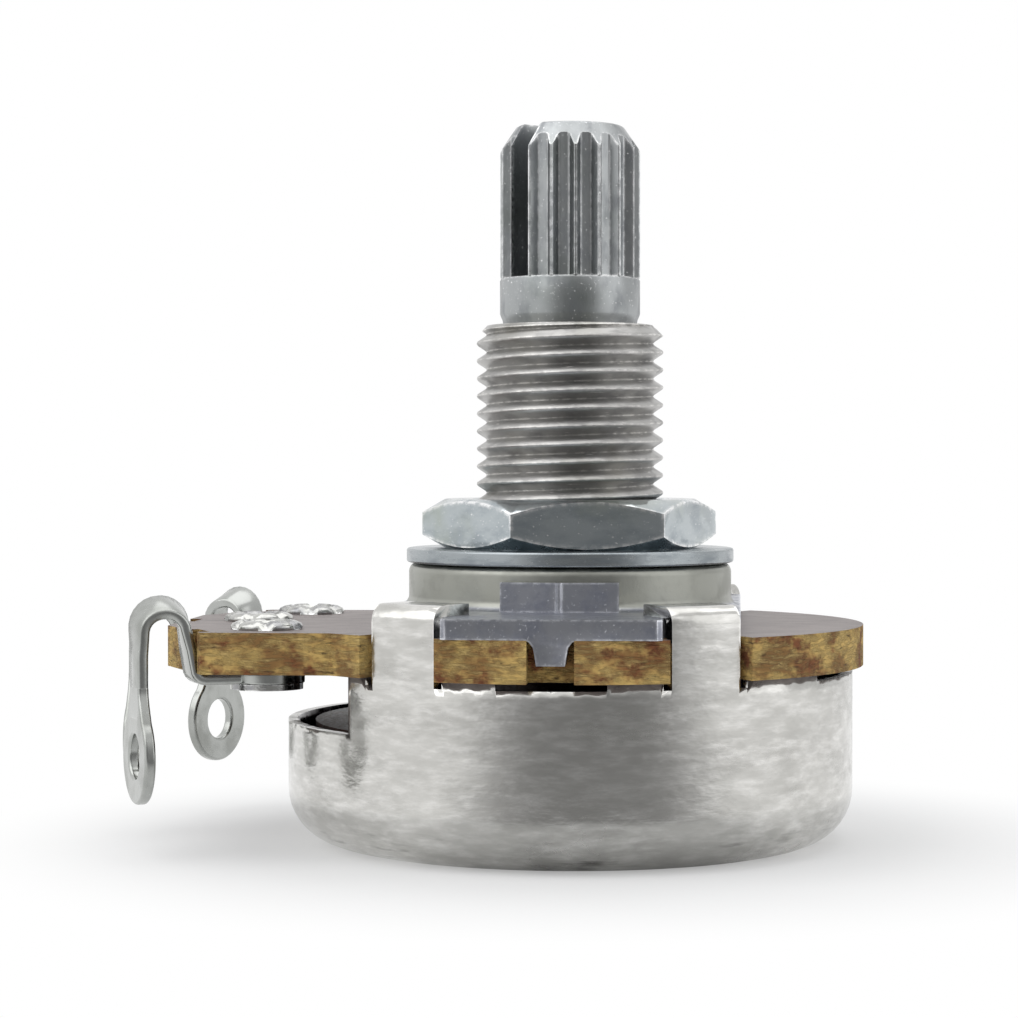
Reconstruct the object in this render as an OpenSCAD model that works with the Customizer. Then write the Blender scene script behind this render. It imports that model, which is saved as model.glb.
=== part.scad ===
// Single-turn rotary potentiometer with a splined, split shaft and three solder lugs.
// The origin is the middle of the cover's flat back, +Z runs along the shaft,
// the lugs stand toward -X and the front plate's arms lie along Y.

/* [Rear cover] */
// Outside diameter of the drawn cover
cover_d = 24.1; // [22:0.1:26]
// Height of the cover from its flat back to its rim
cover_h = 7.55; // [7.3:0.05:10]
// Thickness of the cover's sheet
cover_t = 0.45; // [0.3:0.05:0.6]
// Outside radius between the back and the wall
cover_corner_r = 2.3; // [1:0.1:3]
// Half of the angle over which the wall is cut away at the lugs
window_half_angle = 46; // [36:0.5:48]
// How far the wall is cut down at the lugs
window_drop = 2.35; // [1.5:0.05:3]
// Width of each folded tab
tab_w = 3.05; // [2:0.1:4]
// Angle between the front plate's arm and each tab beside it
tab_angle = 30; // [28:0.5:33]
// Radial length of a folded tab, from the outside of the wall to its tip
tab_reach = 2.35; // [1.6:0.05:2.8]
// Outside radius of a tab's fold
tab_fold_r = 0.7; // [0.6:0.05:0.9]
// Width of the nicks at the root of each tab
nick_w = 0.35; // [0.2:0.05:0.5]
// Depth of the nicks and of the rim's shallow steps
rim_step = 0.3; // [0.15:0.05:0.5]
// Half of the angle of the rim's step away from the lugs
far_step_half_angle = 30.5; // [20:0.5:34]

/* [Wafer] */
// How far the round part of the wafer stands out past the cover's wall
wafer_lip = 0.45; // [0.3:0.05:0.8]
// Thickness of the wafer
wafer_t = 1.7; // [1.2:0.05:2.2]
// Distance from the eyelets' middles to the end face of the wafer that each stands behind
wafer_end = 3.2; // [2.6:0.05:3.4]
// Distance, across the extension, from the middle of an outer end face to the extension's side
neck_margin = 1.28; // [1:0.02:1.4]
// Gap between the wafer and the sheet metal that passes its edge
edge_gap = 0.3; // [0.15:0.05:0.4]
// Gap between the wafer's middle hole and the rotor's hub
hub_gap = 0.3; // [0.2:0.05:0.6]

/* [Track] */
// Thickness of the printed track and pads
film_t = 0.05; // [0.03:0.01:0.08]
// Distance from the cover's inside wall to the middle of the resistive track
track_inset = 1.4; // [1.2:0.05:1.6]
// Width of the resistive track
track_w = 1.6; // [1.2:0.1:1.8]
// Gap between the resistive track and the collector ring
collector_gap = 0.7; // [0.5:0.05:0.8]
// Width of the collector ring
collector_w = 1.1; // [0.8:0.05:1.2]
// Width of the silvered strip that leads to the middle lug
lead_w = 1.4; // [1:0.1:2]
// Half of the angle that the silvered pad covers at each end of the track
pad_half_angle = 5; // [3:0.5:6]

/* [Solder lugs] */
// Angle between neighbouring lugs
lug_angle = 26; // [24:0.5:27]
// Thickness of the lugs' strip
lug_t = 0.45; // [0.35:0.05:0.6]
// Width of the lugs' strip
lug_w = 1.5; // [1.2:0.1:1.8]
// Distance from the wafer's end to the hanging leg's middle plane
lug_leg_out = 2.17; // [1.9:0.01:2.4]
// Distance between the rising and the hanging leg, middle to middle
lug_arch_w = 1.89; // [1.7:0.01:2]
// Height of the arch's top above the wafer's top face
lug_arch_h = 1.2; // [1:0.05:1.4]
// How much lower the arches of the middle and rear lugs are
lug_step = 0.35; // [0:0.05:0.4]
// Outside diameter of the eye
eye_d = 3.9; // [3.2:0.1:4.2]
// Diameter of the hole in the eye
eye_hole_d = 1.8; // [1.2:0.1:2]
// Height of the eye's middle above the cover's back
eye_z = 4.2; // [3.6:0.1:4.6]
// Distance from the outside of the cover's wall to the eyelets' middles
eyelet_out = 1.45; // [1.4:0.01:1.8]
// Diameter of an eyelet's rolled head
eyelet_head_d = 3.0; // [2.6:0.1:3.2]
// Outside diameter of an eyelet's barrel
eyelet_barrel_d = 1.9; // [1.6:0.05:2.1]
// Height of an eyelet's rolled head
eyelet_head_h = 0.4; // [0.3:0.05:0.5]
// Wall of an eyelet
eyelet_wall = 0.3; // [0.2:0.02:0.4]
// Thickness of an eyelet's flange under the lug's foot
eyelet_flange_t = 0.25; // [0.2:0.01:0.3]
// Inside radius of the bend between a lug's foot and its rising leg
lug_bend_r = 0.2; // [0.15:0.05:0.3]
// How far the rising leg leans out on its way up
lug_lean = 0.3; // [0.1:0.05:0.4]
// Angle from the top of the eye at which its shoulders leave it
eye_shoulder_angle = 35; // [25:1:45]
// Height of those shoulders above the eye
eye_shoulder_h = 0.55; // [0.4:0.05:0.8]

/* [Front plate] */
// Thickness of the plate's sheet
plate_t = 0.8; // [0.6:0.05:1.0]
// Height of the seat above the plate's arms
seat_h = 1.8; // [1.6:0.05:2.4]
// Radius at the seat's upper edge
seat_edge_r = 0.45; // [0.3:0.05:0.6]
// How far the strip that the plate is pressed from stands out past the seat, each side
strap_lip = 0.4; // [0.2:0.05:0.6]
// Gap between an arm's end and the tabs beside it
arm_gap = 0.2; // [0.1:0.05:0.5]
// How far the arms' ends stand out past the cover's wall
arm_lip = 0.25; // [0.05:0.05:0.4]
// Width of the tooth that is bent down at each arm's end
tooth_w = 1.25; // [1:0.05:1.6]
// Length of that tooth below the plate
tooth_l = 1.0; // [0.6:0.05:1.4]
// Width of the raised pads round the seat
pad_w = 4.8; // [4:0.1:5.2]
// Height of the pads above the arms
pad_h = 1.2; // [0.8:0.05:1.4]
// How far the pads' ridge stands out from the seat
pad_ridge = 0.5; // [0.3:0.05:0.6]
// Radius of the small hollow between the seat's wall and the arms
seat_root_r = 0.5; // [0.3:0.05:0.6]
// Width of the tongue that stops the rotor
tongue_w = 2.4; // [2:0.1:2.8]

/* [Bushing, washer and nut] */
// Outside diameter of the thread
thread_d = 8; // [7:0.1:9]
// Length of the bushing above the seat
bushing_l = 10.1; // [7:0.1:12]
// Chamfer at the bushing's end
bushing_chamfer = 0.45; // [0.3:0.05:0.6]
// Pitch of the thread, and depth of its grooves
thread_pitch = 0.75; // [0.7:0.05:1]
thread_depth = 0.46; // [0.3:0.02:0.5]
// Radial step from the thread down to the bushing's neck in the plate
neck_step = 0.4; // [0.2:0.05:0.6]
// Radial width of the lip that is staked under the plate
stake_w = 1.0; // [0.6:0.1:1.4]
// Thickness of that lip
stake_t = 0.5; // [0.3:0.05:0.6]
// Diameter of the flat washer
washer_d = 14; // [13:0.5:16]
// Thickness of the flat washer
washer_t = 0.6; // [0.4:0.1:1]
// Radial gap between the washer and the thread
washer_gap = 0.2; // [0.1:0.05:0.3]
// Distance across the nut's flats
nut_af = 11; // [10:0.5:13]
// Thickness of the nut
nut_t = 2.1; // [1.6:0.1:3]
// Angle that the nut stands at
nut_turn = 11; // [0:1:59]
// Radial width of the chamfer at each end of the nut's bore
nut_bore_chamfer = 0.3; // [0.2:0.05:0.4]
// How far the cones that turn off the nut's corners start inside the flats
nut_face_in = 0.15; // [0.05:0.05:0.3]
// Radial running gap between nut and thread, and between shaft and bushing
running_gap = 0.04; // [0.02:0.01:0.08]

/* [Shaft] */
// Diameter of the shaft
shaft_d = 6; // [5.8:0.05:6.2]
// Length of the shaft above the seat
shaft_l = 18.6; // [16:0.1:22]
// Length of the splined end
spline_l = 6.5; // [5:0.5:8]
// Number of spline teeth
spline_n = 18; // [12:2:24]
// Depth of the spline grooves
spline_depth = 0.38; // [0.3:0.02:0.5]
// Width of the land on each tooth
spline_land = 0.12; // [0.08:0.02:0.2]
// Width of a groove's floor as a share of its mouth
spline_floor = 0.6; // [0.4:0.05:0.7]
// Angle of the first spline tooth
spline_turn = -2; // [-10:1:10]
// Width of the split in the splined end
split_w = 1.1; // [0.8:0.1:1.4]
// Angle of the split
split_turn = 47; // [0:1:90]
// Radial width of the chamfer at the shaft's tip
tip_chamfer = 0.75; // [0.4:0.05:0.9]
// Height of that chamfer
tip_chamfer_h = 1.05; // [0.6:0.05:1.3]
// Height of the shaft's relieved neck above the bushing
relief_h = 0.4; // [0.2:0.1:0.6]
// How much smaller the shaft's radius is inside the bushing
relief_depth = 0.16; // [0.16:0.01:0.25]
// Diameter of the shaft's lower part, inside the bushing
journal_d = 5; // [4.6:0.1:5.2]
// Height of the shoulder inside the bushing above the seat
shoulder_h = 1.3; // [1:0.1:3]
// Play of the shaft along its axis
end_play = 0.1; // [0.05:0.01:0.15]
// Width across the two flats that drive the rotor
flats_w = 3.6; // [3.2:0.1:4]
// Thickness of the retaining ring
ring_t = 0.6; // [0.4:0.05:0.7]
// Outside diameter of the retaining ring
ring_d = 7.8; // [7:0.1:8.4]
// Thickness of the thrust washer
thrust_t = 0.25; // [0.2:0.05:0.3]
// Radial depth of the retaining ring's groove
groove_depth = 0.5; // [0.3:0.05:0.6]
// Height of the shaft's riveted head under the drive washer
rivet_head_h = 0.4; // [0.2:0.05:0.6]

/* [Rotor] */
// Gap between the rotor's disc and the cover's inside wall
rotor_clear = 0.7; // [0.4:0.05:1]
// Thickness of the rotor's disc
rotor_t = 1.8; // [1.4:0.1:2]
// Gap between the disc and the wafer
rotor_gap = 2.4; // [2.2:0.1:2.5]
// Diameter of the rotor's hub
hub_d = 8.4; // [8:0.1:8.6]
// Radial gap between the collector ring's inner edge and the rotor's stop
stop_gap = 0.4; // [0.3:0.05:0.6]
// How far the rotor's stop stands out past the plate's tongue
stop_lip = 0.3; // [0.1:0.05:0.4]
// Gap above and below the stop
stop_clear = 0.4; // [0.2:0.05:0.6]
// Turning range from end to end, in degrees
travel = 300; // [280:5:310]
// Thickness of the drive washer
drive_t = 0.6; // [0.4:0.1:0.8]
// Diameter of the drive washer
drive_d = 9; // [8:0.5:11]
// Thickness of the wiper's spring sheet
wiper_t = 0.2; // [0.15:0.05:0.25]
// Width of the wiper's two fingers
finger_w = 0.85; // [0.6:0.05:1]
// Radius of the domed contacts at the fingers' ends
contact_r = 0.3; // [0.2:0.05:0.4]
// Distance from the shaft's axis to the line at which the fingers bend up
finger_bend = 5.2; // [4.8:0.1:5.6]
// How far the fingers run past the contacts' middles
finger_over = 0.6; // [0.4:0.05:0.8]
// Angles at which the wiper's base starts and ends, and those of its fingers
wiper_from = -58; // [-60:1:-54]
wiper_to = -20; // [-24:1:-16]
finger_from = -45; // [-50:1:-40]
finger_to = 3; // [3:0.5:6]

/* [Hidden] */
$fn = 64;

// Overlap that a cut or a joined solid gets so that no face is shared by chance
bite = 1;

// A little more than nothing, for fits that must not touch
hair = 0.05;

cover_r = cover_d / 2;
cover_in_r = cover_r - cover_t;
wafer_r = cover_r + wafer_lip;
eyelet_r = cover_r + eyelet_out;
wafer_reach = eyelet_r + wafer_end;
lug_leg_r = wafer_reach + lug_leg_out;
// From the cover's wall inwards: track, collector ring, rotor's stop, plate's tongue and raised seat
track_r = cover_in_r - track_inset;
collector_r = track_r - track_w / 2 - collector_gap - collector_w / 2;
stop_r = collector_r - collector_w / 2 - stop_gap;
tongue_r = stop_r - stop_lip - plate_t;
seat_in_r = tongue_r;
seat_r = seat_in_r + plate_t;

wafer_z = cover_h;
wafer_top = wafer_z + wafer_t;
arm_top = wafer_top + plate_t;
seat_z = arm_top + seat_h;
seat_under = seat_z - plate_t;
strap_w = 2 * (seat_r + strap_lip);
arm_end_w = 2 * (cover_r * sin(tab_angle) - tab_w / 2 - arm_gap);
arm_reach = cover_r + arm_lip;
arm_r = cover_r - tab_fold_r - hair;
film_z = wafer_z - film_t;
lug_foot_z = film_z - lug_t;
nut_z = seat_z + washer_t;
bushing_under = seat_under - stake_t;
bushing_top = seat_z + bushing_l;
thread_r = thread_d / 2;
neck_r = thread_r - neck_step;
stake_r = neck_r + stake_w;
shaft_top = seat_z + shaft_l;
spline_z = shaft_top - spline_l;
shoulder_z = seat_z + shoulder_h;
thrust_z = bushing_under - end_play - thrust_t;
ring_z = thrust_z - ring_t;
hub_top = ring_z - end_play;
journal_r = journal_d / 2;
groove_r = journal_r - groove_depth;
disc_top = wafer_z - rotor_gap;
disc_z = disc_top - rotor_t;
drive_z = disc_z - drive_t;
rotor_r = cover_in_r - rotor_clear;
tongue_end_z = disc_top + stop_clear;

// Angle at which the tongue's edge meets the stop, and what that leaves for the stop's half angle
tongue_half_angle = asin(tongue_w / 2 / tongue_r);
stop_half_angle = (360 - travel) / 2 - tongue_half_angle - 0.5;

// A ring sector from angle a to angle b, drawn flat
module sector(r_in, r_out, a, b) {
    reach = r_out * 1.6;
    middle = (a + b) / 2;
    intersection() {
        difference() {
            circle(r_out);
            circle(r_in);
        }
        polygon([[0, 0],
                 [reach * cos(a), reach * sin(a)],
                 [reach * cos(middle), reach * sin(middle)],
                 [reach * cos(b), reach * sin(b)]]);
    }
}

// A block that points outward from the axis at an angle
module radial_block(angle, r_in, r_out, w, z_low, z_high) {
    rotate([0, 0, angle])
        translate([r_in, -w / 2, z_low])
            cube([r_out - r_in, w, z_high - z_low]);
}

function tab_angles() = [for (side = [-90, 90], way = [-1, 1]) side + way * tab_angle];

module cover_shell() {
    rotate_extrude()
        difference() {
            union() {
                square([cover_r - cover_corner_r, cover_corner_r]);
                translate([0, cover_corner_r])
                    square([cover_r, cover_h - cover_corner_r]);
                translate([cover_r - cover_corner_r, cover_corner_r])
                    intersection() {
                        circle(cover_corner_r);
                        translate([0, -cover_corner_r])
                            square(cover_corner_r);
                    }
            }
            union() {
                translate([0, cover_t])
                    square([cover_r - cover_corner_r, cover_h]);
                translate([0, cover_corner_r])
                    square([cover_in_r, cover_h]);
                translate([cover_r - cover_corner_r, cover_corner_r])
                    circle(cover_corner_r - cover_t);
            }
        }
}

// The folded tabs' section turned right round, of which each tab is a slice
module tab_section() {
    fold_z = arm_top + cover_t - tab_fold_r;
    rotate_extrude() {
        translate([cover_in_r, cover_h - bite])
            square([cover_t, fold_z - cover_h + bite]);
        translate([cover_r - tab_fold_r, fold_z])
            intersection() {
                difference() {
                    circle(tab_fold_r);
                    circle(tab_fold_r - cover_t);
                }
                square(tab_fold_r);
            }
        translate([cover_r - tab_reach, arm_top])
            square([tab_reach - tab_fold_r, cover_t]);
    }
}

module rear_cover() {
    color("#b9b9b3") {
        difference() {
            cover_shell();
            translate([0, 0, cover_h - window_drop])
                linear_extrude(window_drop + bite)
                    sector(cover_in_r - bite, cover_r + bite,
                           180 - window_half_angle, 180 + window_half_angle);
            translate([0, 0, cover_h - rim_step])
                linear_extrude(rim_step + bite)
                    sector(cover_in_r - bite, cover_r + bite, -far_step_half_angle, far_step_half_angle);
            for (side = [-90, 90])
                radial_block(side, cover_in_r - bite, cover_r + bite,
                             tooth_w + 2 * (edge_gap + tooth_w), cover_h - rim_step, cover_h + bite);
            for (a = tab_angles())
                difference() {
                    radial_block(a, cover_in_r - bite, cover_r + bite, tab_w + 2 * nick_w,
                                 cover_h - rim_step, cover_h + bite);
                    radial_block(a, cover_in_r - 2 * bite, cover_r + 2 * bite, tab_w,
                                 cover_h - 2 * bite, cover_h + 2 * bite);
                }
        }
        intersection() {
            tab_section();
            for (a = tab_angles())
                radial_block(a, cover_r - tab_reach - bite, cover_r + bite, tab_w, 0, seat_z);
        }
    }
}

// Middle of an end face of the wafer, moved sideways along that face
function end_face(angle, shift) =
    [wafer_reach * cos(angle) - shift * sin(angle), wafer_reach * sin(angle) + shift * cos(angle)];

module wafer_outline() {
    neck = wafer_reach * sin(lug_angle) + neck_margin;
    corner = wafer_reach * tan(lug_angle / 2);
    side = neck_margin / cos(lug_angle);
    circle(wafer_r);
    polygon([[0, neck],
             end_face(180 - lug_angle, -side),
             end_face(180, -corner),
             end_face(180, corner),
             end_face(180 + lug_angle, side),
             [0, -neck]]);
}

// The notches in which the lugs rise past the wafer's end
lug_notch_r = lug_leg_r - lug_arch_w - lug_t / 2 - 2 * edge_gap;

module wafer_notches() {
    for (a = tab_angles())
        rotate([0, 0, a])
            translate([cover_in_r - edge_gap / 2, -tab_w / 2 - edge_gap])
                square([wafer_reach, tab_w + 2 * edge_gap]);
    for (side = [-90, 90])
        rotate([0, 0, side])
            translate([arm_reach - plate_t - edge_gap / 2, -tooth_w / 2 - edge_gap])
                square([wafer_reach, tooth_w + 2 * edge_gap]);
    for (a = [-1, 0, 1])
        rotate([0, 0, 180 + a * lug_angle]) {
            translate([lug_notch_r, -lug_w / 2 - edge_gap / 2])
                square([wafer_reach, lug_w + edge_gap]);
            translate([eyelet_r, 0])
                circle(d = eyelet_barrel_d);
        }
}

module wafer() {
    color("#8a7a68")
        translate([0, 0, wafer_z])
            linear_extrude(wafer_t)
                difference() {
                    wafer_outline();
                    wafer_notches();
                    circle(hub_d / 2 + hub_gap);
                    translate([-tongue_r - plate_t - edge_gap / 2, -tongue_w / 2 - edge_gap])
                        square([tongue_r, tongue_w + 2 * edge_gap]);
                }
}

module strap_outline() {
    intersection() {
        circle(arm_r);
        square([strap_w, 2 * arm_reach], center = true);
    }
    square([arm_end_w, 2 * arm_reach], center = true);
}

// The small hollow between seat wall and arm
module seat_fillet() {
    intersection() {
        rotate_extrude()
            difference() {
                translate([seat_in_r, arm_top])
                    square([plate_t + seat_root_r, seat_root_r]);
                translate([seat_r + seat_root_r, arm_top + seat_root_r])
                    circle(seat_root_r);
            }
        translate([0, 0, arm_top])
            linear_extrude(seat_h)
                square([2 * seat_r, 2 * arm_reach], center = true);
    }
}

module seat_pad() {
    half = pad_w / 2;
    end_out = seat_r + pad_ridge / 2;
    linear_extrude(pad_h)
        polygon([[seat_in_r + hair, -half], [end_out, -half], [seat_r + pad_ridge, 0],
                 [end_out, half], [seat_in_r + hair, half]]);
}

module seat_cup() {
    rotate_extrude()
        difference() {
            union() {
                translate([0, wafer_top])
                    square([seat_r, seat_z - wafer_top - seat_edge_r]);
                translate([0, wafer_top])
                    square([seat_r - seat_edge_r, seat_z - wafer_top]);
                translate([seat_r - seat_edge_r, seat_z - seat_edge_r])
                    circle(seat_edge_r);
            }
            translate([0, wafer_top - bite])
                square([seat_in_r, seat_under - wafer_top + bite]);
        }
}

module front_plate() {
    color("#767d84") {
        difference() {
            union() {
                translate([0, 0, wafer_top])
                    linear_extrude(plate_t)
                        strap_outline();
                seat_cup();
                seat_fillet();
                for (a = [-90, 90])
                    rotate([0, 0, a])
                        translate([0, 0, arm_top])
                            seat_pad();
            }
            translate([0, 0, wafer_top - bite])
                cylinder(r = seat_in_r, h = seat_under - wafer_top + bite);
            cylinder(r = neck_r, h = seat_z + bite);
        }
        for (side = [-90, 90])
            radial_block(side, arm_reach - plate_t, arm_reach, tooth_w, wafer_top - tooth_l, arm_top);
        intersection() {
            translate([0, 0, tongue_end_z])
                linear_extrude(arm_top - tongue_end_z)
                    difference() {
                        circle(tongue_r + plate_t);
                        circle(tongue_r);
                    }
            radial_block(180, 0, seat_r + bite, tongue_w, 0, seat_z);
        }
    }
}

// Points of one thread groove's section, the lower edge of its mouth at z
function groove_points(z) =
    let (land = thread_pitch / 8)
    [[thread_r, z], [thread_r - thread_depth, z + (thread_pitch - land) / 2 - land],
     [thread_r - thread_depth, z + (thread_pitch - land) / 2 + land], [thread_r, z + thread_pitch - land]];

module bushing() {
    // The thread is cut as rings where the nut stands
    nut_top = nut_z + nut_t + hair;
    rings = floor((nut_top - seat_z) / thread_pitch);
    first_z = nut_top - rings * thread_pitch + thread_pitch / 8;
    color("#8d8783")
        difference() {
            rotate_extrude()
                polygon(concat(
                    [[0, bushing_under], [stake_r, bushing_under], [stake_r, bushing_under + stake_t],
                     [neck_r, bushing_under + stake_t], [neck_r, seat_z], [thread_r, seat_z]],
                    [for (i = [0:rings - 1], q = groove_points(first_z + i * thread_pitch)) q],
                    [[thread_r, bushing_top - bushing_chamfer], [thread_r - bushing_chamfer, bushing_top],
                     [0, bushing_top]]));
            translate([0, 0, bushing_under - bite])
                cylinder(r = journal_r + running_gap, h = bushing_top);
            translate([0, 0, shoulder_z])
                cylinder(r = shaft_d / 2 - relief_depth + running_gap, h = bushing_top);
        }
}

module flat_washer() {
    color("#8c9298")
        translate([0, 0, seat_z])
            difference() {
                cylinder(d = washer_d, h = washer_t);
                translate([0, 0, -bite])
                    cylinder(r = thread_r + washer_gap, h = washer_t + 2 * bite);
            }
}

module hex_nut() {
    // The corners are turned off by a cone at 30 degrees on both faces
    corner_r = nut_af / 2 / cos(30);
    blank_r = corner_r + hair;
    low_r = nut_af / 2 - nut_face_in;
    cone_h = (blank_r - low_r) * tan(30);
    bore_r = thread_r + running_gap;
    color("#a9adb2")
        translate([0, 0, nut_z])
            difference() {
                intersection() {
                    rotate([0, 0, nut_turn])
                        cylinder(r = corner_r, h = nut_t, $fn = 6);
                    rotate_extrude()
                        polygon([[0, 0], [low_r, 0], [blank_r, cone_h],
                                 [blank_r, nut_t - cone_h], [low_r, nut_t], [0, nut_t]]);
                }
                rotate_extrude()
                    polygon([[0, -bite], [bore_r + nut_bore_chamfer + bite, -bite], [bore_r, nut_bore_chamfer],
                             [bore_r, nut_t - nut_bore_chamfer],
                             [bore_r + nut_bore_chamfer + bite, nut_t + bite], [0, nut_t + bite]]);
            }
}

// Section of the splined end: each tooth is a narrow flat land between two sloping flanks
module spline_section() {
    shaft_r = shaft_d / 2;
    half_pitch = 180 / spline_n;
    land = asin(spline_land / 2 / shaft_r);
    floor_r = shaft_r - spline_depth;
    floor_half = spline_floor * (half_pitch - land);
    polygon([for (i = [0:spline_n - 1], q = [[shaft_r, -land], [shaft_r, land],
                  [floor_r, half_pitch - floor_half], [floor_r, half_pitch + floor_half]])
             let (a = spline_turn + i * 360 / spline_n + q[1]) [q[0] * cos(a), q[0] * sin(a)]]);
}

module double_flat(r) {
    intersection() {
        circle(r);
        square([2 * r, flats_w], center = true);
    }
}

module shaft() {
    shaft_r = shaft_d / 2;
    inner_r = shaft_r - relief_depth;
    relief_z = bushing_top + relief_h;
    tip_z = shaft_top - tip_chamfer_h;
    cone_z = tip_z - bite * tip_chamfer_h / tip_chamfer;
    color("#9a9894")
        difference() {
            union() {
                translate([0, 0, shoulder_z + end_play])
                    cylinder(r = inner_r, h = bushing_top - shoulder_z - end_play);
                translate([0, 0, bushing_top])
                    cylinder(r1 = inner_r, r2 = shaft_r, h = relief_h);
                translate([0, 0, relief_z])
                    cylinder(r = shaft_r, h = spline_z - relief_z);
                intersection() {
                    translate([0, 0, spline_z])
                        linear_extrude(spline_l)
                            spline_section();
                    rotate_extrude()
                        polygon([[0, spline_z - bite], [shaft_r + bite, spline_z - bite],
                                 [shaft_r + bite, cone_z], [0, cone_z + (shaft_r + bite) * tip_chamfer_h / tip_chamfer]]);
                }
                translate([0, 0, ring_z + ring_t])
                    cylinder(r = journal_r, h = shoulder_z + end_play - ring_z - ring_t);
                translate([0, 0, hub_top])
                    cylinder(r = groove_r, h = ring_t + end_play);
                translate([0, 0, hub_top])
                    cylinder(r = journal_r, h = end_play);
                translate([0, 0, drive_z])
                    linear_extrude(hub_top - drive_z)
                        double_flat(journal_r);
                translate([0, 0, drive_z - rivet_head_h])
                    cylinder(r1 = groove_r, r2 = journal_r, h = rivet_head_h);
            }
            rotate([0, 0, split_turn])
                translate([-shaft_d, -split_w / 2, spline_z])
                    cube([2 * shaft_d, split_w, spline_l + bite]);
        }
}

module retaining_ring() {
    mouth = 1.8 * groove_r;
    color("#a7a7a5")
        translate([0, 0, ring_z])
            difference() {
                cylinder(d = ring_d, h = ring_t);
                translate([0, 0, -bite])
                    cylinder(r = groove_r, h = ring_t + 2 * bite);
                rotate([0, 0, -90])
                    translate([0, -mouth / 2, -bite])
                        cube([ring_d, mouth, ring_t + 2 * bite]);
            }
}

module thrust_washer() {
    color("#c0b48c")
        translate([0, 0, thrust_z])
            difference() {
                cylinder(r = stake_r - running_gap - thrust_t, h = thrust_t);
                translate([0, 0, -bite])
                    cylinder(r = journal_r + running_gap, h = thrust_t + 2 * bite);
            }
}

module rotor() {
    color("#3a302a")
        difference() {
            union() {
                translate([0, 0, disc_z])
                    cylinder(r = rotor_r, h = rotor_t);
                translate([0, 0, disc_z])
                    cylinder(d = hub_d, h = hub_top - disc_z);
                translate([0, 0, disc_z])
                    linear_extrude(wafer_z - stop_clear - disc_z)
                        sector(hub_d / 2 - bite, stop_r, -stop_half_angle, stop_half_angle);
            }
            translate([0, 0, disc_z - bite])
                linear_extrude(hub_top)
                    double_flat(journal_r);
        }
}

module drive_washer() {
    color("#a9a79c")
        translate([0, 0, drive_z])
            linear_extrude(drive_t)
                difference() {
                    circle(d = drive_d);
                    double_flat(journal_r);
                }
}

module wiper() {
    rise = film_z - disc_top - wiper_t;
    run = finger_bend + finger_over;
    slope = atan(rise / run);
    color("#c9a65a") {
        translate([0, 0, disc_top])
            linear_extrude(wiper_t)
                intersection() {
                    sector(collector_r - finger_w / 2, track_r + finger_w / 2, wiper_from, wiper_to);
                    translate([0, -finger_bend - 2 * rotor_r])
                        square([2 * rotor_r, 2 * rotor_r]);
                }
        intersection() {
            translate([0, 0, disc_top])
                linear_extrude(rotor_gap)
                    for (r = [collector_r, track_r])
                        sector(r - finger_w / 2, r + finger_w / 2, finger_from, finger_to);
            translate([0, -finger_bend, disc_top])
                rotate([slope, 0, 0])
                    cube([2 * rotor_r, run, wiper_t]);
        }
        for (r = [collector_r, track_r])
            translate([r, 0, film_z - contact_r - wiper_t / 10])
                sphere(r = contact_r);
    }
}

module resistive_track() {
    color("#1c1a1a")
        translate([0, 0, film_z])
            linear_extrude(film_t)
                difference() {
                    circle(track_r + track_w / 2);
                    circle(track_r - track_w / 2);
                    sector(hub_d / 2, cover_d, 180 - lug_angle - pad_half_angle, 180 + lug_angle + pad_half_angle);
                }
}

module collector_ring() {
    color("#c8c8c4")
        translate([0, 0, film_z])
            linear_extrude(film_t)
                difference() {
                    union() {
                        circle(collector_r + collector_w / 2);
                        translate([-eyelet_r, -lead_w / 2])
                            square([eyelet_r, lead_w]);
                        translate([-eyelet_r, 0])
                            circle(d = eyelet_head_d);
                    }
                    circle(collector_r - collector_w / 2);
                    translate([-eyelet_r, 0])
                        circle(d = eyelet_barrel_d);
                }
}

// A silvered pad from the track's end out to an outer lug
module end_pad(way) {
    angle = 180 + way * lug_angle;
    color("#c4c4c0")
        translate([0, 0, film_z])
            linear_extrude(film_t)
                difference() {
                    union() {
                        sector(track_r - track_w / 2, track_r + track_w / 2,
                               angle - pad_half_angle, angle + pad_half_angle);
                        rotate([0, 0, angle]) {
                            translate([track_r, -lead_w / 2])
                                square([eyelet_r - track_r, lead_w]);
                            translate([eyelet_r, 0])
                                circle(d = eyelet_head_d);
                        }
                    }
                    rotate([0, 0, angle])
                        translate([eyelet_r, 0])
                            circle(d = eyelet_barrel_d);
                }
}

module end_pad_front() {
    end_pad(1);
}

module end_pad_rear() {
    end_pad(-1);
}

// The side view of a lug: foot, rising leg and arch, as drawn before it is given its width
module lug_side(arch_top) {
    rise_r = lug_leg_r - lug_arch_w;
    arch_r = (lug_arch_w + lug_t) / 2;
    arch_z = arch_top - arch_r;
    foot_in = eyelet_r - eyelet_head_d / 2;
    foot_out = rise_r - lug_lean - lug_t / 2 - lug_bend_r;
    bend_z = lug_foot_z + lug_t + lug_bend_r;
    translate([foot_in, lug_foot_z])
        square([foot_out - foot_in, lug_t]);
    translate([foot_out, bend_z])
        intersection() {
            difference() {
                circle(lug_bend_r + lug_t);
                circle(lug_bend_r);
            }
            translate([0, -lug_bend_r - lug_t])
                square(lug_bend_r + lug_t);
        }
    polygon([[foot_out + lug_bend_r, bend_z], [foot_out + lug_bend_r + lug_t, bend_z],
             [rise_r + lug_t / 2, arch_z], [rise_r - lug_t / 2, arch_z]]);
    translate([lug_leg_r - lug_arch_w / 2, arch_z])
        intersection() {
            difference() {
                circle(arch_r);
                circle(arch_r - lug_t);
            }
            translate([-arch_r, 0])
                square([2 * arch_r, arch_r]);
        }
}

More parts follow.
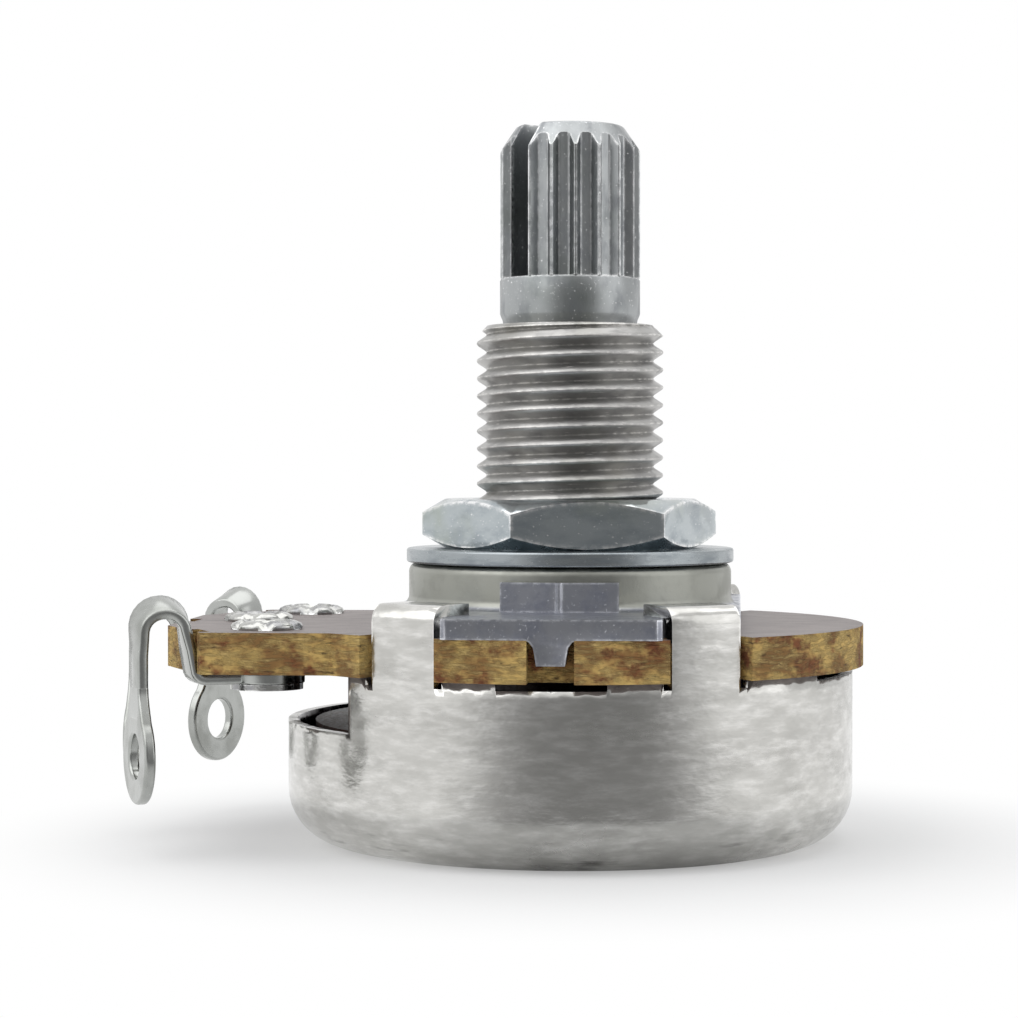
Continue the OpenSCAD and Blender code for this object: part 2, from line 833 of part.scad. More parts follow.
// The hanging leg and its eye, seen along the radius
module lug_face(arch_top) {
    arch_z = arch_top - (lug_arch_w + lug_t) / 2;
    eye_r = eye_d / 2;
    difference() {
        union() {
            translate([0, eye_z])
                circle(eye_r);
            translate([-lug_w / 2, eye_z])
                square([lug_w, arch_z - eye_z]);
            polygon([[-lug_w / 2, eye_z + eye_r + eye_shoulder_h],
                     [-eye_r * sin(eye_shoulder_angle), eye_z + eye_r * cos(eye_shoulder_angle)],
                     [eye_r * sin(eye_shoulder_angle), eye_z + eye_r * cos(eye_shoulder_angle)],
                     [lug_w / 2, eye_z + eye_r + eye_shoulder_h]]);
        }
        translate([0, eye_z])
            circle(d = eye_hole_d);
    }
}

module lug(angle, drop) {
    arch_top = wafer_top + lug_arch_h - drop;
    color("#b3b3b1")
        rotate([0, 0, angle])
            difference() {
                union() {
                    translate([0, lug_w / 2, 0])
                        rotate([90, 0, 0])
                            linear_extrude(lug_w)
                                lug_side(arch_top);
                    translate([lug_leg_r - lug_t / 2, 0, 0])
                        rotate([90, 0, 90])
                            linear_extrude(lug_t)
                                lug_face(arch_top);
                    translate([eyelet_r, 0, lug_foot_z])
                        cylinder(d = eyelet_head_d, h = lug_t);
                }
                translate([eyelet_r, 0, lug_foot_z - bite])
                    cylinder(d = eyelet_barrel_d, h = lug_t + 2 * bite);
            }
}

module lug_front() {
    lug(180 + lug_angle, 0);
}

module lug_middle() {
    lug(180, lug_step);
}

module lug_rear() {
    lug(180 - lug_angle, lug_step);
}

// A hollow eyelet, rolled over on the wafer and flanged under the lug's foot
module eyelet(angle) {
    barrel_r = eyelet_barrel_d / 2;
    head_r = eyelet_head_d / 2;
    roll_r = (head_r - barrel_r + eyelet_wall) / 2;
    color("#bcbcba")
        rotate([0, 0, angle])
            translate([eyelet_r, 0, 0])
                rotate_extrude() {
                    translate([barrel_r - eyelet_wall, lug_foot_z - eyelet_flange_t])
                        square([eyelet_wall, wafer_top - lug_foot_z + eyelet_flange_t]);
                    translate([barrel_r - eyelet_wall, lug_foot_z - eyelet_flange_t])
                        square([head_r - barrel_r, eyelet_flange_t]);
                    intersection() {
                        translate([head_r - roll_r, wafer_top + eyelet_head_h - roll_r])
                            circle(roll_r);
                        translate([0, wafer_top])
                            square([head_r, eyelet_head_h]);
                    }
                }
}

module eyelet_front() {
    eyelet(180 + lug_angle);
}

module eyelet_middle() {
    eyelet(180);
}

module eyelet_rear() {
    eyelet(180 - lug_angle);
}

rear_cover();
front_plate();
wafer();
bushing();
flat_washer();
hex_nut();
shaft();
retaining_ring();
thrust_washer();
rotor();
drive_washer();
wiper();
resistive_track();
collector_ring();
end_pad_front();
end_pad_rear();
lug_front();
lug_middle();
lug_rear();
eyelet_front();
eyelet_middle();
eyelet_rear();
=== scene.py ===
# %% [markdown]
# # Rotary potentiometer
#
# The object is a single-turn potentiometer: a drawn steel can, a phenolic wafer with three solder lugs,
# a pressed front plate, a threaded bushing with its washer and nut, and a splined, split shaft.
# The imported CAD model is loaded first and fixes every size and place. The pieces that the eye sees are then
# modelled again with softer edges and real surfaces, and stand in for the plain solids.

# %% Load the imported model
import math

import bmesh
import bpy
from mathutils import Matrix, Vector


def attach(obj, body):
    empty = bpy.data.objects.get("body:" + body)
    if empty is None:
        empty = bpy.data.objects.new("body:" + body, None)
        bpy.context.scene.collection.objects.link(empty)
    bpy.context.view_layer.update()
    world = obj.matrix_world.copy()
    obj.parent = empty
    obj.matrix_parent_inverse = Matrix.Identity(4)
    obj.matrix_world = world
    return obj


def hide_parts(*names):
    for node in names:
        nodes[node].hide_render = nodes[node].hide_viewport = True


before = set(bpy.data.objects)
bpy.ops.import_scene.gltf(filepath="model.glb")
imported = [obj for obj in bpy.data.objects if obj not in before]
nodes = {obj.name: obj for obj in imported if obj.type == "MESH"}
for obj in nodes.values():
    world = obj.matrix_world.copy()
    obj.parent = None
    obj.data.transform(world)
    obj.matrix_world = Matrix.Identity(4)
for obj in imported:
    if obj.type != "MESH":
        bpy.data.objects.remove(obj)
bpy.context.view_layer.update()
print("nodes:", len(nodes))

# %% [markdown]
# ## Camera
#
# The photograph was taken through a long lens that looks almost level. The camera stands 118 mm from the
# shaft's axis and 16.2 mm above the can's back. It is turned a little, so that the object sits where the
# photograph has it. A lens is set by its focal length in pixels, as a share of the picture's width.

# %% Camera
MM = 0.001
eye_distance, eye_height, eye_azimuth = 118 * MM, 16.2 * MM, math.radians(3.5)
eye_pitch, eye_yaw = math.radians(-1.02), math.radians(1.27)
focal_px, picture_px, sensor_mm = 2749, 1018, 36
bpy.ops.object.camera_add(location=(eye_distance * math.sin(eye_azimuth),
                                    -eye_distance * math.cos(eye_azimuth), eye_height))
camera = bpy.context.object
camera.data.sensor_width = sensor_mm
camera.data.lens = focal_px / picture_px * sensor_mm
camera.data.clip_start, camera.data.clip_end = 0.01, 20
camera.rotation_euler = (math.radians(90) + eye_pitch, 0, eye_azimuth + eye_yaw)
bpy.context.scene.camera = camera
bpy.context.scene.view_settings.view_transform = "Standard"
print("lens:", round(camera.data.lens, 1), "mm")

# %% [markdown]
# ## Choosing what an operator works on
#
# An operator acts on whatever is selected, so each helper first leaves just the right object selected, and
# goes in or out of edit mode. Points inside a mesh are chosen by their place.

# %% Selecting
def leave_all():
    """Goes back to object mode with nothing selected."""
    if bpy.context.object and bpy.context.object.mode != "OBJECT":
        bpy.ops.object.mode_set(mode="OBJECT")
    bpy.ops.object.select_all(action="DESELECT")


def only(obj, *others):
    """Leaves obj active and selected, with any others selected beside it."""
    leave_all()
    for o in (*others, obj):
        o.select_set(True)
    bpy.context.view_layer.objects.active = obj


def edit(obj, select="SELECT"):
    """Goes into edit mode with all points of obj selected, or none of them."""
    only(obj)
    bpy.ops.object.mode_set(mode="EDIT")
    bpy.ops.mesh.select_mode(type="VERT")
    bpy.ops.mesh.select_all(action=select)


def done():
    bpy.ops.object.mode_set(mode="OBJECT")


def pick_points(obj, test):
    """In edit mode, selects the points whose place passes the test."""
    bpy.ops.mesh.select_all(action="DESELECT")
    bm = bmesh.from_edit_mesh(obj.data)
    for point in bm.verts:
        point.select_set(test(point.co))
    bm.select_flush_mode()
    bmesh.update_edit_mesh(obj.data)


leave_all()
print("selected:", len(bpy.context.selected_objects))

# %% [markdown]
# ## Drawing solids by hand
#
# Each piece is drawn in millimetres about the origin and made small at the very end, because the tools that
# merge points and cut solids work best near that size. A chain of points is the start of nearly all of them:
# spun round the axis it becomes a turned part, and filled and pulled it becomes a stamped one.

# %% Drawing
merge_gap = 0.0005


def polar(r, degrees):
    return r * math.cos(math.radians(degrees)), r * math.sin(math.radians(degrees))


def arc(cx, cz, r, start, end, steps):
    """Points along a part of a circle, both ends included."""
    return [(cx + r * math.cos(math.radians(start + (end - start) * i / steps)),
             cz + r * math.sin(math.radians(start + (end - start) * i / steps))) for i in range(steps + 1)]


def tidy(obj):
    """Merges doubled points and turns all faces outwards."""
    edit(obj)
    bpy.ops.mesh.remove_doubles(threshold=merge_gap)
    bpy.ops.mesh.normals_make_consistent(inside=False)
    done()


def chain(name, points):
    """A line of points, drawn by extruding one point from each place to the next."""
    leave_all()
    bpy.ops.mesh.primitive_plane_add(size=1, location=(0, 0, 0))
    obj = bpy.context.object
    obj.name = name
    points = [Vector(q) for q in points]
    edit(obj)
    bpy.ops.mesh.merge(type="CENTER")
    bpy.ops.transform.translate(value=points[0])
    for a, b in zip(points, points[1:]):
        bpy.ops.mesh.extrude_vertices_move(TRANSFORM_OT_translate={"value": b - a})
    done()
    return obj


def pull(name, outline, way):
    """Fills a closed outline of (x, y, z) points and pulls the face along a vector into a solid."""
    obj = chain(name, outline)
    edit(obj)
    bpy.ops.mesh.edge_face_add()
    bpy.ops.mesh.select_mode(type="FACE")
    bpy.ops.mesh.select_all(action="SELECT")
    bpy.ops.mesh.extrude_region_move(TRANSFORM_OT_translate={"value": way})
    done()
    tidy(obj)
    return obj


def prism(name, outline, z, height):
    """A closed outline of (x, y) points, pulled up from z."""
    return pull(name, [(x, y, z) for x, y in outline], (0, 0, height))


def lathe(name, section, steps=96):
    """A closed section of (radius, height) points, spun round the Z axis."""
    obj = chain(name, [(r, 0, z) for r, z in section] + [(section[0][0], 0, section[0][1])])
    edit(obj)
    bpy.ops.mesh.spin(steps=steps, angle=2 * math.pi, center=(0, 0, 0), axis=(0, 0, 1))
    done()
    tidy(obj)
    return obj


def disc(name, r, z, height, x=0, y=0, steps=96):
    leave_all()
    bpy.ops.mesh.primitive_cylinder_add(vertices=steps, radius=r, depth=height, location=(x, y, z + height / 2))
    obj = bpy.context.object
    obj.name = name
    bpy.ops.object.transform_apply(location=True, rotation=True, scale=True)
    return obj


print("a quarter circle in two steps:", [(round(x, 2), round(z, 2)) for x, z in arc(0, 0, 1, 0, 90, 2)])

# %% [markdown]
# ## Cutting, rounding and fastening
#
# Solids are added to and cut from each other with exact booleans. The Bevel modifier then rounds what is
# sharp, and weighted normals keep the flat faces flat beside it. A finished piece is made small, takes its
# place in its own mesh, and is fastened to the CAD body that it moves with.

# %% Shaping and settling
dressed_pieces = {}


def modify(obj, kind, **values):
    """Adds one modifier, sets it and applies it."""
    only(obj)
    bpy.ops.object.modifier_add(type=kind)
    modifier = obj.modifiers[-1]
    for key, value in values.items():
        setattr(modifier, key, value)
    bpy.ops.object.modifier_apply(modifier=modifier.name)


def cut(obj, tool, how="DIFFERENCE"):
    """Cuts with, keeps what is inside, or adds another solid, which is then thrown away."""
    modify(obj, "BOOLEAN", object=tool, operation=how, solver="EXACT")
    bpy.data.objects.remove(tool)


def shade(obj, angle=35):
    only(obj)
    bpy.ops.object.shade_smooth_by_angle(angle=math.radians(angle))


def soften(obj, width, segments=2, angle=30):
    """Rounds the sharp edges and shades the rest smooth."""
    modify(obj, "BEVEL", width=width, segments=segments, limit_method="ANGLE",
           angle_limit=math.radians(angle), use_clamp_overlap=True)
    shade(obj)
    modify(obj, "WEIGHTED_NORMAL", keep_sharp=True, weight=80)


def turn(obj, degrees):
    """Turns all points of an object round the Z axis."""
    edit(obj)
    bpy.ops.transform.rotate(value=-math.radians(degrees), orient_axis="Z", center_override=(0, 0, 0))
    done()


def join(obj, *others):
    only(obj, *others)
    bpy.ops.object.join()


def settle(obj, body, material_slot, *replaced):
    """Brings a finished piece from millimetres to metres and fastens it to its body."""
    edit(obj)
    bpy.ops.transform.resize(value=(MM, MM, MM), center_override=(0, 0, 0))
    done()
    bpy.ops.object.transform_apply(location=True, rotation=True, scale=True)
    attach(obj, body)
    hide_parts(*replaced)
    dressed_pieces[obj.name] = material_slot
    print(obj.name, len(obj.data.polygons), "faces")


print("a millimetre is", MM, "m")

# %% [markdown]
# ## Rear cover
#
# The can is drawn from sheet steel, then four tabs of its wall are folded over the front plate. Here the wall
# is spun with the fold all the way round, as one closed section with the sheet's thickness, and what lies
# between the tabs is cut away. Cutting one spun sheet keeps every tab in one piece with the wall, with no
# seam. Rows of points up the wall keep its faces short, and the number of steps is such that no side of a tab
# meets a line of the spun mesh.

# %% Spun sheet
cover_r, cover_h, sheet, corner_r = 12.05, 7.55, 0.45, 2.3
arm_top, fold_r, tab_reach = 10.05, 0.7, 2.35
fold_z = arm_top + sheet - fold_r
axis_r = 0.001
wall_rows = (3.1, 4, 4.9, 5.9, 6.9, 7.7, 8.8)
outside = ([(axis_r, 0)] + arc(cover_r - corner_r, corner_r, corner_r, -90, 0, 10)
           + [(cover_r, z) for z in wall_rows] + arc(cover_r - fold_r, fold_z, fold_r, 0, 90, 8)
           + [(cover_r - tab_reach, arm_top + sheet), (cover_r - tab_reach, arm_top)])
inside = (arc(cover_r - fold_r, fold_z, fold_r - sheet, 90, 0, 6)
          + [(cover_r - sheet, z) for z in reversed(wall_rows)]
          + arc(cover_r - corner_r, corner_r, corner_r - sheet, 0, -90, 10) + [(axis_r, sheet)])
cover = lathe("can", outside + inside, steps=176)
print("sheet:", len(cover.data.polygons), "faces")

# %% [markdown]
# ## Tabs and rim of the cover
#
# A tab's sides are parallel, so the cutter between two tabs follows the side line of each. The rim is then
# lowered: far down at the window for the lugs, a little on the far side and under the plate's arms, and in a
# narrow nick at each side of a tab, which lets the tab fold without tearing.

# %% Cutters
tab_w, tab_angles = 3.05, [-120, -60, 60, 120]
cut_in, cut_out, cut_h = 11, 13, 4


def beside(angle, r, way):
    """A point on one side line of the tab at this angle."""
    c, n = polar(1, angle)
    return r * c - way * tab_w / 2 * n, r * n + way * tab_w / 2 * c


def sector(name, a, b, z):
    """A cutter for the rim, between two angles."""
    angles = [a + (b - a) * i / 24 for i in range(25)]
    rim, back = [polar(cut_out, t) for t in angles], [polar(cut_in, t) for t in reversed(angles)]
    return prism(name, rim + back, z, cut_h)


def radial_block(name, angle, r_in, r_out, width, z, height, middle=0):
    """A straight block that points away from the axis, with its middle line moved sideways if asked."""
    low, high = middle - width / 2, middle + width / 2
    block = prism(name, [(r_in, low), (r_out, low), (r_out, high), (r_in, high)], z, height)
    turn(block, angle)
    return block


print("a tab's two sides at x =", [round(beside(tab_angles[2], cover_r, way)[0], 2) for way in (-1, 1)])

# %% Tabs and rim
window_drop, window_half, rim_step, far_half, nick_w, arm_step_w = 2.35, 46, 0.3, 30.5, 0.35, 4.35
inner_r, tab_r, outer_r, clear_of_tab, cutter_steps = 7, 8, 14, 8, 20
for a, b in zip(tab_angles, tab_angles[1:] + [tab_angles[0] + 360]):
    first, span = a + clear_of_tab, b - a - 2 * clear_of_tab
    steps = [first + span * i / cutter_steps for i in range(cutter_steps + 1)]
    between = ([beside(a, tab_r, 1), beside(a, outer_r, 1)] + [polar(outer_r, t) for t in steps]
               + [beside(b, outer_r, -1), beside(b, tab_r, -1)]
               + [polar(inner_r, t) for t in reversed(steps[3:-3])])
    cut(cover, prism("between", between, cover_h, cut_h))
cut(cover, sector("window", 180 - window_half, 180 + window_half, cover_h - window_drop))
cut(cover, sector("far_step", -far_half, far_half, cover_h - rim_step))
for side in (-90, 90):
    cut(cover, radial_block("arm_step", side, cut_in, cut_out, arm_step_w, cover_h - rim_step, cut_h))
for a in tab_angles:
    for way in (-1, 1):
        cut(cover, radial_block("nick", a, cut_in, cut_out, nick_w, cover_h - rim_step, cut_h,
                                way * (tab_w + nick_w) / 2))
tidy(cover)
soften(cover, 0.06)
cover.name = "folded_can"
settle(cover, "housing", "cover_steel", "rear_cover")

# %% [markdown]
# ## Wafer
#
# The wafer is punched from phenolic paper board. A disc and the wedge that reaches out to the lugs are added
# together, and everything that passes its edge is punched out: the four tabs, the plate's teeth and tongue,
# the notches of the lugs, the eyelets' holes and the hole round the hub. A punch starts a millimetre below
# the board and ends above it, so that no two faces lie in one plane.

# %% Wafer
wafer_r, wafer_z, wafer_t, wafer_reach, lug_angle = 12.5, 7.55, 1.7, 16.7, 26
wedge_overlap = 1.28
eyelet_r, eyelet_hole_r, hub_hole_r = 13.5, 0.95, 4.5
tab_slot_r, tab_slot_w, tooth_slot_r, tooth_slot_w = 11.45, tab_w + 0.6, 11.35, 1.85
lug_notch_r, lug_notch_w, tongue_slot_r, tongue_slot_w = 16.155, 1.8, 7.05, 3
lug_angles = (180 - lug_angle, 180, 180 + lug_angle)
punch_z, punch_h, punch_out = wafer_z - 1, 4, 20


def end_face(angle, shift):
    """A point on the wedge's end, which stands square to this angle, shifted along it."""
    c, n = polar(1, angle)
    return wafer_reach * c - shift * n, wafer_reach * n + shift * c


half_corner = wafer_reach * math.tan(math.radians(lug_angle / 2))
shoulder = wedge_overlap / math.cos(math.radians(lug_angle))
neck = wafer_reach * math.sin(math.radians(lug_angle)) + wedge_overlap
wedge = [(0, neck), end_face(180 - lug_angle, -shoulder), end_face(180, -half_corner),
         end_face(180, half_corner), end_face(180 + lug_angle, shoulder), (0, -neck)]
wafer = disc("board", wafer_r, wafer_z, wafer_t, steps=160)
cut(wafer, prism("wedge", wedge, wafer_z, wafer_t), "UNION")
for a in tab_angles:
    cut(wafer, radial_block("tab_slot", a, tab_slot_r, punch_out, tab_slot_w, punch_z, punch_h))
for a in (-90, 90):
    cut(wafer, radial_block("tooth_slot", a, tooth_slot_r, punch_out, tooth_slot_w, punch_z, punch_h))
for a in lug_angles:
    cut(wafer, radial_block("lug_notch", a, lug_notch_r, punch_out, lug_notch_w, punch_z, punch_h))
    cut(wafer, disc("hole", eyelet_hole_r, punch_z, punch_h, *polar(eyelet_r, a), steps=32))
cut(wafer, disc("hub_hole", hub_hole_r, punch_z, punch_h))
cut(wafer, radial_block("tongue_slot", 180, hub_hole_r - 0.5, tongue_slot_r, tongue_slot_w, punch_z, punch_h))
tidy(wafer)
soften(wafer, 0.05)
settle(wafer, "housing", "phenolic", "wafer")

# %% [markdown]
# ## Front plate
#
# The plate is pressed from one strip: two arms, a raised round seat for the bushing, two pads that stiffen
# the seat's wall, a tooth bent down at each arm's end and a tongue that stops the rotor. The strip is an
# outline pulled to its thickness, and at an arm's root the outline follows a circle round the axis. The seat is
# spun, with the hollow round its foot drawn in the section.

# %% Strip and seat
plate_z, plate_t = 9.25, 0.8
seat_z, seat_r, seat_round, seat_hole_r = 11.85, 6.9, 0.4, 6.6
seat_in, seat_hollow, neck_r = 6.1, 0.2, 3.6
arm_w, strap_w, arm_r, arm_reach, arm_chamfer = 4.3, 7.3, 11.3, 12.3, 0.2
corner = [polar(arm_r, a) for a in (49.75, 54, 58, 62, 66, 67.6)]
quarter = [(strap_w, 0)] + corner + [(arm_w, arm_reach - arm_chamfer), (arm_w - arm_chamfer, arm_reach)]
outline = (quarter + [(-x, y) for x, y in reversed(quarter)] + [(-x, -y) for x, y in quarter[1:]]
           + [(x, -y) for x, y in reversed(quarter[1:])])
plate = prism("strap", outline, plate_z, plate_t)
cut(plate, disc("seat_hole", seat_hole_r, plate_z - 1, punch_h))
seat = lathe("seat", [(seat_in, plate_z), (seat_in, seat_z - plate_t - seat_hollow),
                      (seat_in - seat_hollow, seat_z - plate_t), (neck_r, seat_z - plate_t), (neck_r, seat_z)]
             + arc(seat_r - seat_round, seat_z - seat_round, seat_round, 90, 0, 6)
             + arc(seat_r + seat_round, arm_top + seat_round, seat_round, 180, 270, 6)
             + [(seat_r + seat_round, plate_z)], steps=128)
cut(plate, seat, "UNION")
print("strip and seat:", len(plate.data.polygons), "faces")

# %% [markdown]
# ## Pads, teeth and tongue of the plate
#
# A pad's outline has a fine upright ridge in its middle. A tooth is drawn as its front outline, wide at the
# arm and with hollow corners, and is pulled out to the arm's end by the sheet's thickness.

# %% Pads, teeth and tongue
pad_face, pad_half, pad_h, ridge_top, ridge_half = 7.15, 2.4, 1.3, 7.4, 0.06
tongue_in, tongue_out, tongue_w, tongue_z, tongue_h = 6.15, 6.85, 2.4, 5.55, 4
pad_side = [(6.2, pad_half), (pad_face, pad_half), (ridge_top - 0.1, 0.14), (ridge_top, ridge_half)]
pad_outline = [(x, -y) for x, y in pad_side] + list(reversed(pad_side))
tooth_side = [(1.1, arm_top - 0.1), (1.1, plate_z), (0.85, plate_z - 0.06), (0.68, plate_z - 0.28),
              (0.62, plate_z - 0.6), (0.56, plate_z - 1)]
tooth_outline = [(-x, z) for x, z in tooth_side] + list(reversed(tooth_side))
for a in (90, 270):
    pad = prism("pad", pad_outline, arm_top - 0.1, pad_h)
    turn(pad, a)
    cut(plate, pad, "UNION")
for a in (0, 180):
    tooth = pull("tooth", [(x, plate_t - arm_reach, z) for x, z in tooth_outline], (0, -plate_t, 0))
    turn(tooth, a)
    cut(plate, tooth, "UNION")
cut(plate, radial_block("tongue", 180, tongue_in, tongue_out, tongue_w, tongue_z, tongue_h), "UNION")
tidy(plate)
soften(plate, 0.07)
plate.name = "pressed_plate"
settle(plate, "housing", "plate_zinc", "front_plate")

# %% [markdown]
# ## Washer and nut
#
# The washer is a spun ring with soft edges. The nut starts as a six-sided bar, and a spun body with cones at
# both ends takes its corners off, which leaves the curved line at the top and foot of each flat.

# %% Washer and nut
washer_in, washer_out, washer_t = 4.2, 7.0, 0.6
washer = lathe("flat_ring", [(washer_in, seat_z), (washer_out, seat_z), (washer_out, seat_z + washer_t),
                             (washer_in, seat_z + washer_t)], steps=128)
soften(washer, 0.1, 3)
settle(washer, "housing", "washer_steel", "flat_washer")

nut_z, nut_t, nut_flats, nut_turn = 12.45, 2.1, 11, -19
bore_r, bore_chamfer = 4.04, 0.3
nut_corner = nut_flats / 2 / math.cos(math.radians(30))
rim_r, top_r = nut_corner + 0.05, nut_flats / 2 - 0.15
cone = (rim_r - top_r) * math.tan(math.radians(30))
nut = disc("six_sided_nut", nut_corner, nut_z, nut_t, steps=6)
turn(nut, nut_turn)
cut(nut, lathe("nut_body", [
    (bore_r, nut_z + bore_chamfer), (bore_r + bore_chamfer, nut_z), (top_r, nut_z), (rim_r, nut_z + cone),
    (rim_r, nut_z + nut_t - cone), (top_r, nut_z + nut_t), (bore_r + bore_chamfer, nut_z + nut_t),
    (bore_r, nut_z + nut_t - bore_chamfer)], steps=120), "INTERSECT")
tidy(nut)
soften(nut, 0.12, 3, 20)
settle(nut, "nut", "nut_steel", "hex_nut")

# %% [markdown]
# ## Bushing
#
# The thread is M8 with a pitch of 0.75 mm. One turn of its section is drawn and swept up a screw line, a pitch
# for each turn, and the ends are closed. The part of it that lies inside the bushing's own outline is kept, so
# the chamfer at the top cuts the last turns as a lathe does.

# %% Thread
thread_r, pitch, depth, turns, bushing_top, bushing_bore = 4.0, 0.75, 0.43, 17, 21.95, 2.88
low_z = seat_z - 1.6
chamfer_in, chamfer_down, spare = 0.45, 0.75, 0.3
groove = [(thread_r - 0.02, 0), (thread_r, 0.05), (thread_r - 0.03, 0.12), (thread_r - depth + 0.05, 0.35),
          (thread_r - depth, 0.42), (thread_r - depth + 0.05, 0.49), (thread_r - 0.05, 0.71),
          (thread_r - 0.02, pitch)]
thread = chain("thread", [(r, 0, low_z + z) for r, z in groove])
modify(thread, "SCREW", axis="Z", angle=2 * math.pi, screw_offset=pitch, iterations=turns, steps=72,
       render_steps=72, use_merge_vertices=True, merge_threshold=merge_gap)
tidy(thread)
middle = low_z + turns * pitch / 2
for low in (True, False):
    edit(thread, "DESELECT")
    bpy.ops.mesh.select_mode(type="EDGE")
    bpy.ops.mesh.select_non_manifold()
    bm = bmesh.from_edit_mesh(thread.data)
    for e in bm.edges:
        if e.select and ((e.verts[0].co.z < middle) != low):
            e.select_set(False)
    bmesh.update_edit_mesh(thread.data)
    bpy.ops.mesh.edge_face_add()
    done()
tidy(thread)
envelope = lathe("envelope", [(bushing_bore, seat_z + 0.02), (thread_r + spare, seat_z + 0.02),
                              (thread_r + spare, bushing_top - chamfer_down),
                              (thread_r - chamfer_in, bushing_top),
                              (bushing_bore + 0.07, bushing_top), (bushing_bore, bushing_top - 0.07)])
cut(thread, envelope, "INTERSECT")
tidy(thread)
print("thread:", len(thread.data.polygons), "faces")

# %% [markdown]
# ## Neck of the bushing
#
# Below the thread the bushing passes through the plate and is staked under it by a flange. The neck is one
# more turned part, and its bore narrows where the shaft runs in it.

# %% Neck of the bushing
flange_r, shaft_bore = 4.6, 2.54
flange_z, flange_top, bore_step_z = 10.55, 11.05, 13.15
neck_part = lathe("neck", [
    (shaft_bore, flange_z), (flange_r, flange_z), (flange_r, flange_top), (neck_r, flange_top),
    (neck_r, seat_z + 0.03), (bushing_bore, seat_z + 0.03), (bushing_bore, bore_step_z),
    (shaft_bore, bore_step_z)])
join(thread, neck_part)
shade(thread, 40)
thread.name = "threaded_bushing"
settle(thread, "housing", "bushing_metal", "bushing")

# %% [markdown]
# ## Splined end of the shaft
#
# The splined end is an outline of eighteen teeth pulled up. Each tooth has a narrow top with broken corners
# and a wide hollow beside it. The tip's chamfer is cut by a spun body, and the split by a thin block.

# %% Splined end
shaft_r, spline_z, shaft_top, teeth, spline_turn = 3.0, 23.95, 30.45, 18, -2
hollow_r, flank_r, land_r = shaft_r - 0.38, shaft_r - 0.34, shaft_r - 0.05
split_half, split_turn = 0.55, 47
tooth_points = ((land_r, -1.9), (shaft_r, -0.8), (shaft_r, 0.8), (land_r, 1.9),
                (flank_r, 5.0), (hollow_r, 7.5), (hollow_r, 12.5), (flank_r, 15.0))
star = [polar(r, spline_turn + i * 360 / teeth + a) for i in range(teeth) for r, a in tooth_points]
splines = prism("splines", star, spline_z, shaft_top - spline_z)
tip = lathe("tip", [(0, 23), (4, 23), (4, 28), (shaft_r + 0.1, 29.26), (2.32, shaft_top - 0.07),
                    (2.2, shaft_top), (0, shaft_top)])
cut(splines, tip, "INTERSECT")
split = prism("split", [(-5, -split_half), (5, -split_half), (5, split_half), (-5, split_half)], spline_z, 8)
turn(split, split_turn)
cut(splines, split)
tidy(splines)
soften(splines, 0.03, 2, 25)
print("splines:", len(splines.data.polygons), "faces")

# %% [markdown]
# ## Rest of the shaft
#
# Below the splines the shaft is plain. Inside the can it is thinner: a groove holds the clip, two flats turn
# the drive washer, and a rounded foot runs in the rotor. The parts are joined as one object.

# %% Rest of the shaft
stem_r, flats_z, flats_h = 2.5, 2.75, 6.8
stem = lathe("stem", [(0, 2.35), (1.9, 2.35), (2.3, 2.5), (stem_r, flats_z), (stem_r, 3.0), (0, 3.0)], steps=64)
flats = prism("flats", [polar(stem_r, a) for a in range(-46, 47, 4)]
              + [polar(stem_r, a) for a in range(134, 227, 4)], flats_z, flats_h)
plain = lathe("plain", [
    (0, 9.5), (stem_r, 9.5), (stem_r, 9.6), (2.0, 9.6), (2.0, 10.2), (stem_r, 10.2), (stem_r, 13.25),
    (2.84, 13.25), (2.84, 21.9), (2.9, 22.2), (2.97, 22.35), (shaft_r, 22.45), (shaft_r, spline_z - 0.1),
    (shaft_r - 0.05, spline_z), (0, spline_z)])
shade(plain, 30)
join(splines, stem, flats, plain)
splines.name = "splined_shaft"
settle(splines, "rotor", "shaft_metal", "shaft")

# %% [markdown]
# ## Strips of sheet metal
#
# A lug is a strip that is clamped under the wafer, bent up at its end, arched over and left hanging. The strip
# is a curve along its middle line, with a small rounded outline as its bevel. The tilt of the curve's points
# gives the slight twist that bending by hand leaves.

# %% Strip
lug_t, lug_w, lug_round = 0.45, 1.5, 0.12


def poly_line(name, places, closed=False):
    """A curve object of straight lines through these places."""
    line = bpy.data.curves.new(name, "CURVE")
    spline = line.splines.new("POLY")
    spline.points.add(len(places) - 1)
    for point, place in zip(spline.points, places):
        point.co = (*place, 1)
    spline.use_cyclic_u = closed
    obj = bpy.data.objects.new(name, line)
    bpy.context.scene.collection.objects.link(obj)
    return obj


def strip(name, path, tilts):
    """A strip with rounded edges along a line of points, twisted by the tilt in degrees at each."""
    w, t, k = lug_w / 2, lug_t / 2, lug_round
    edge = [(w - k, t), (-w + k, t), (-w + 0.3 * k, t - 0.3 * k), (-w, t - k), (-w, -t + k),
            (-w + 0.3 * k, -t + 0.3 * k)]
    rim = poly_line(name + "_rim", [(x, y, 0) for x, y in edge] + [(-x, -y, 0) for x, y in edge], closed=True)
    line = poly_line(name, path)
    line.data.dimensions, line.data.twist_mode = "3D", "MINIMUM"
    line.data.bevel_mode, line.data.bevel_object, line.data.use_fill_caps = "OBJECT", rim, True
    for point, tilt in zip(line.data.splines[0].points, tilts):
        point.tilt = math.radians(tilt)
    only(line)
    bpy.ops.object.convert(target="MESH")
    bpy.data.objects.remove(rim)
    tidy(bpy.context.object)
    return bpy.context.object


print("strip:", lug_w, "x", lug_t, "mm")

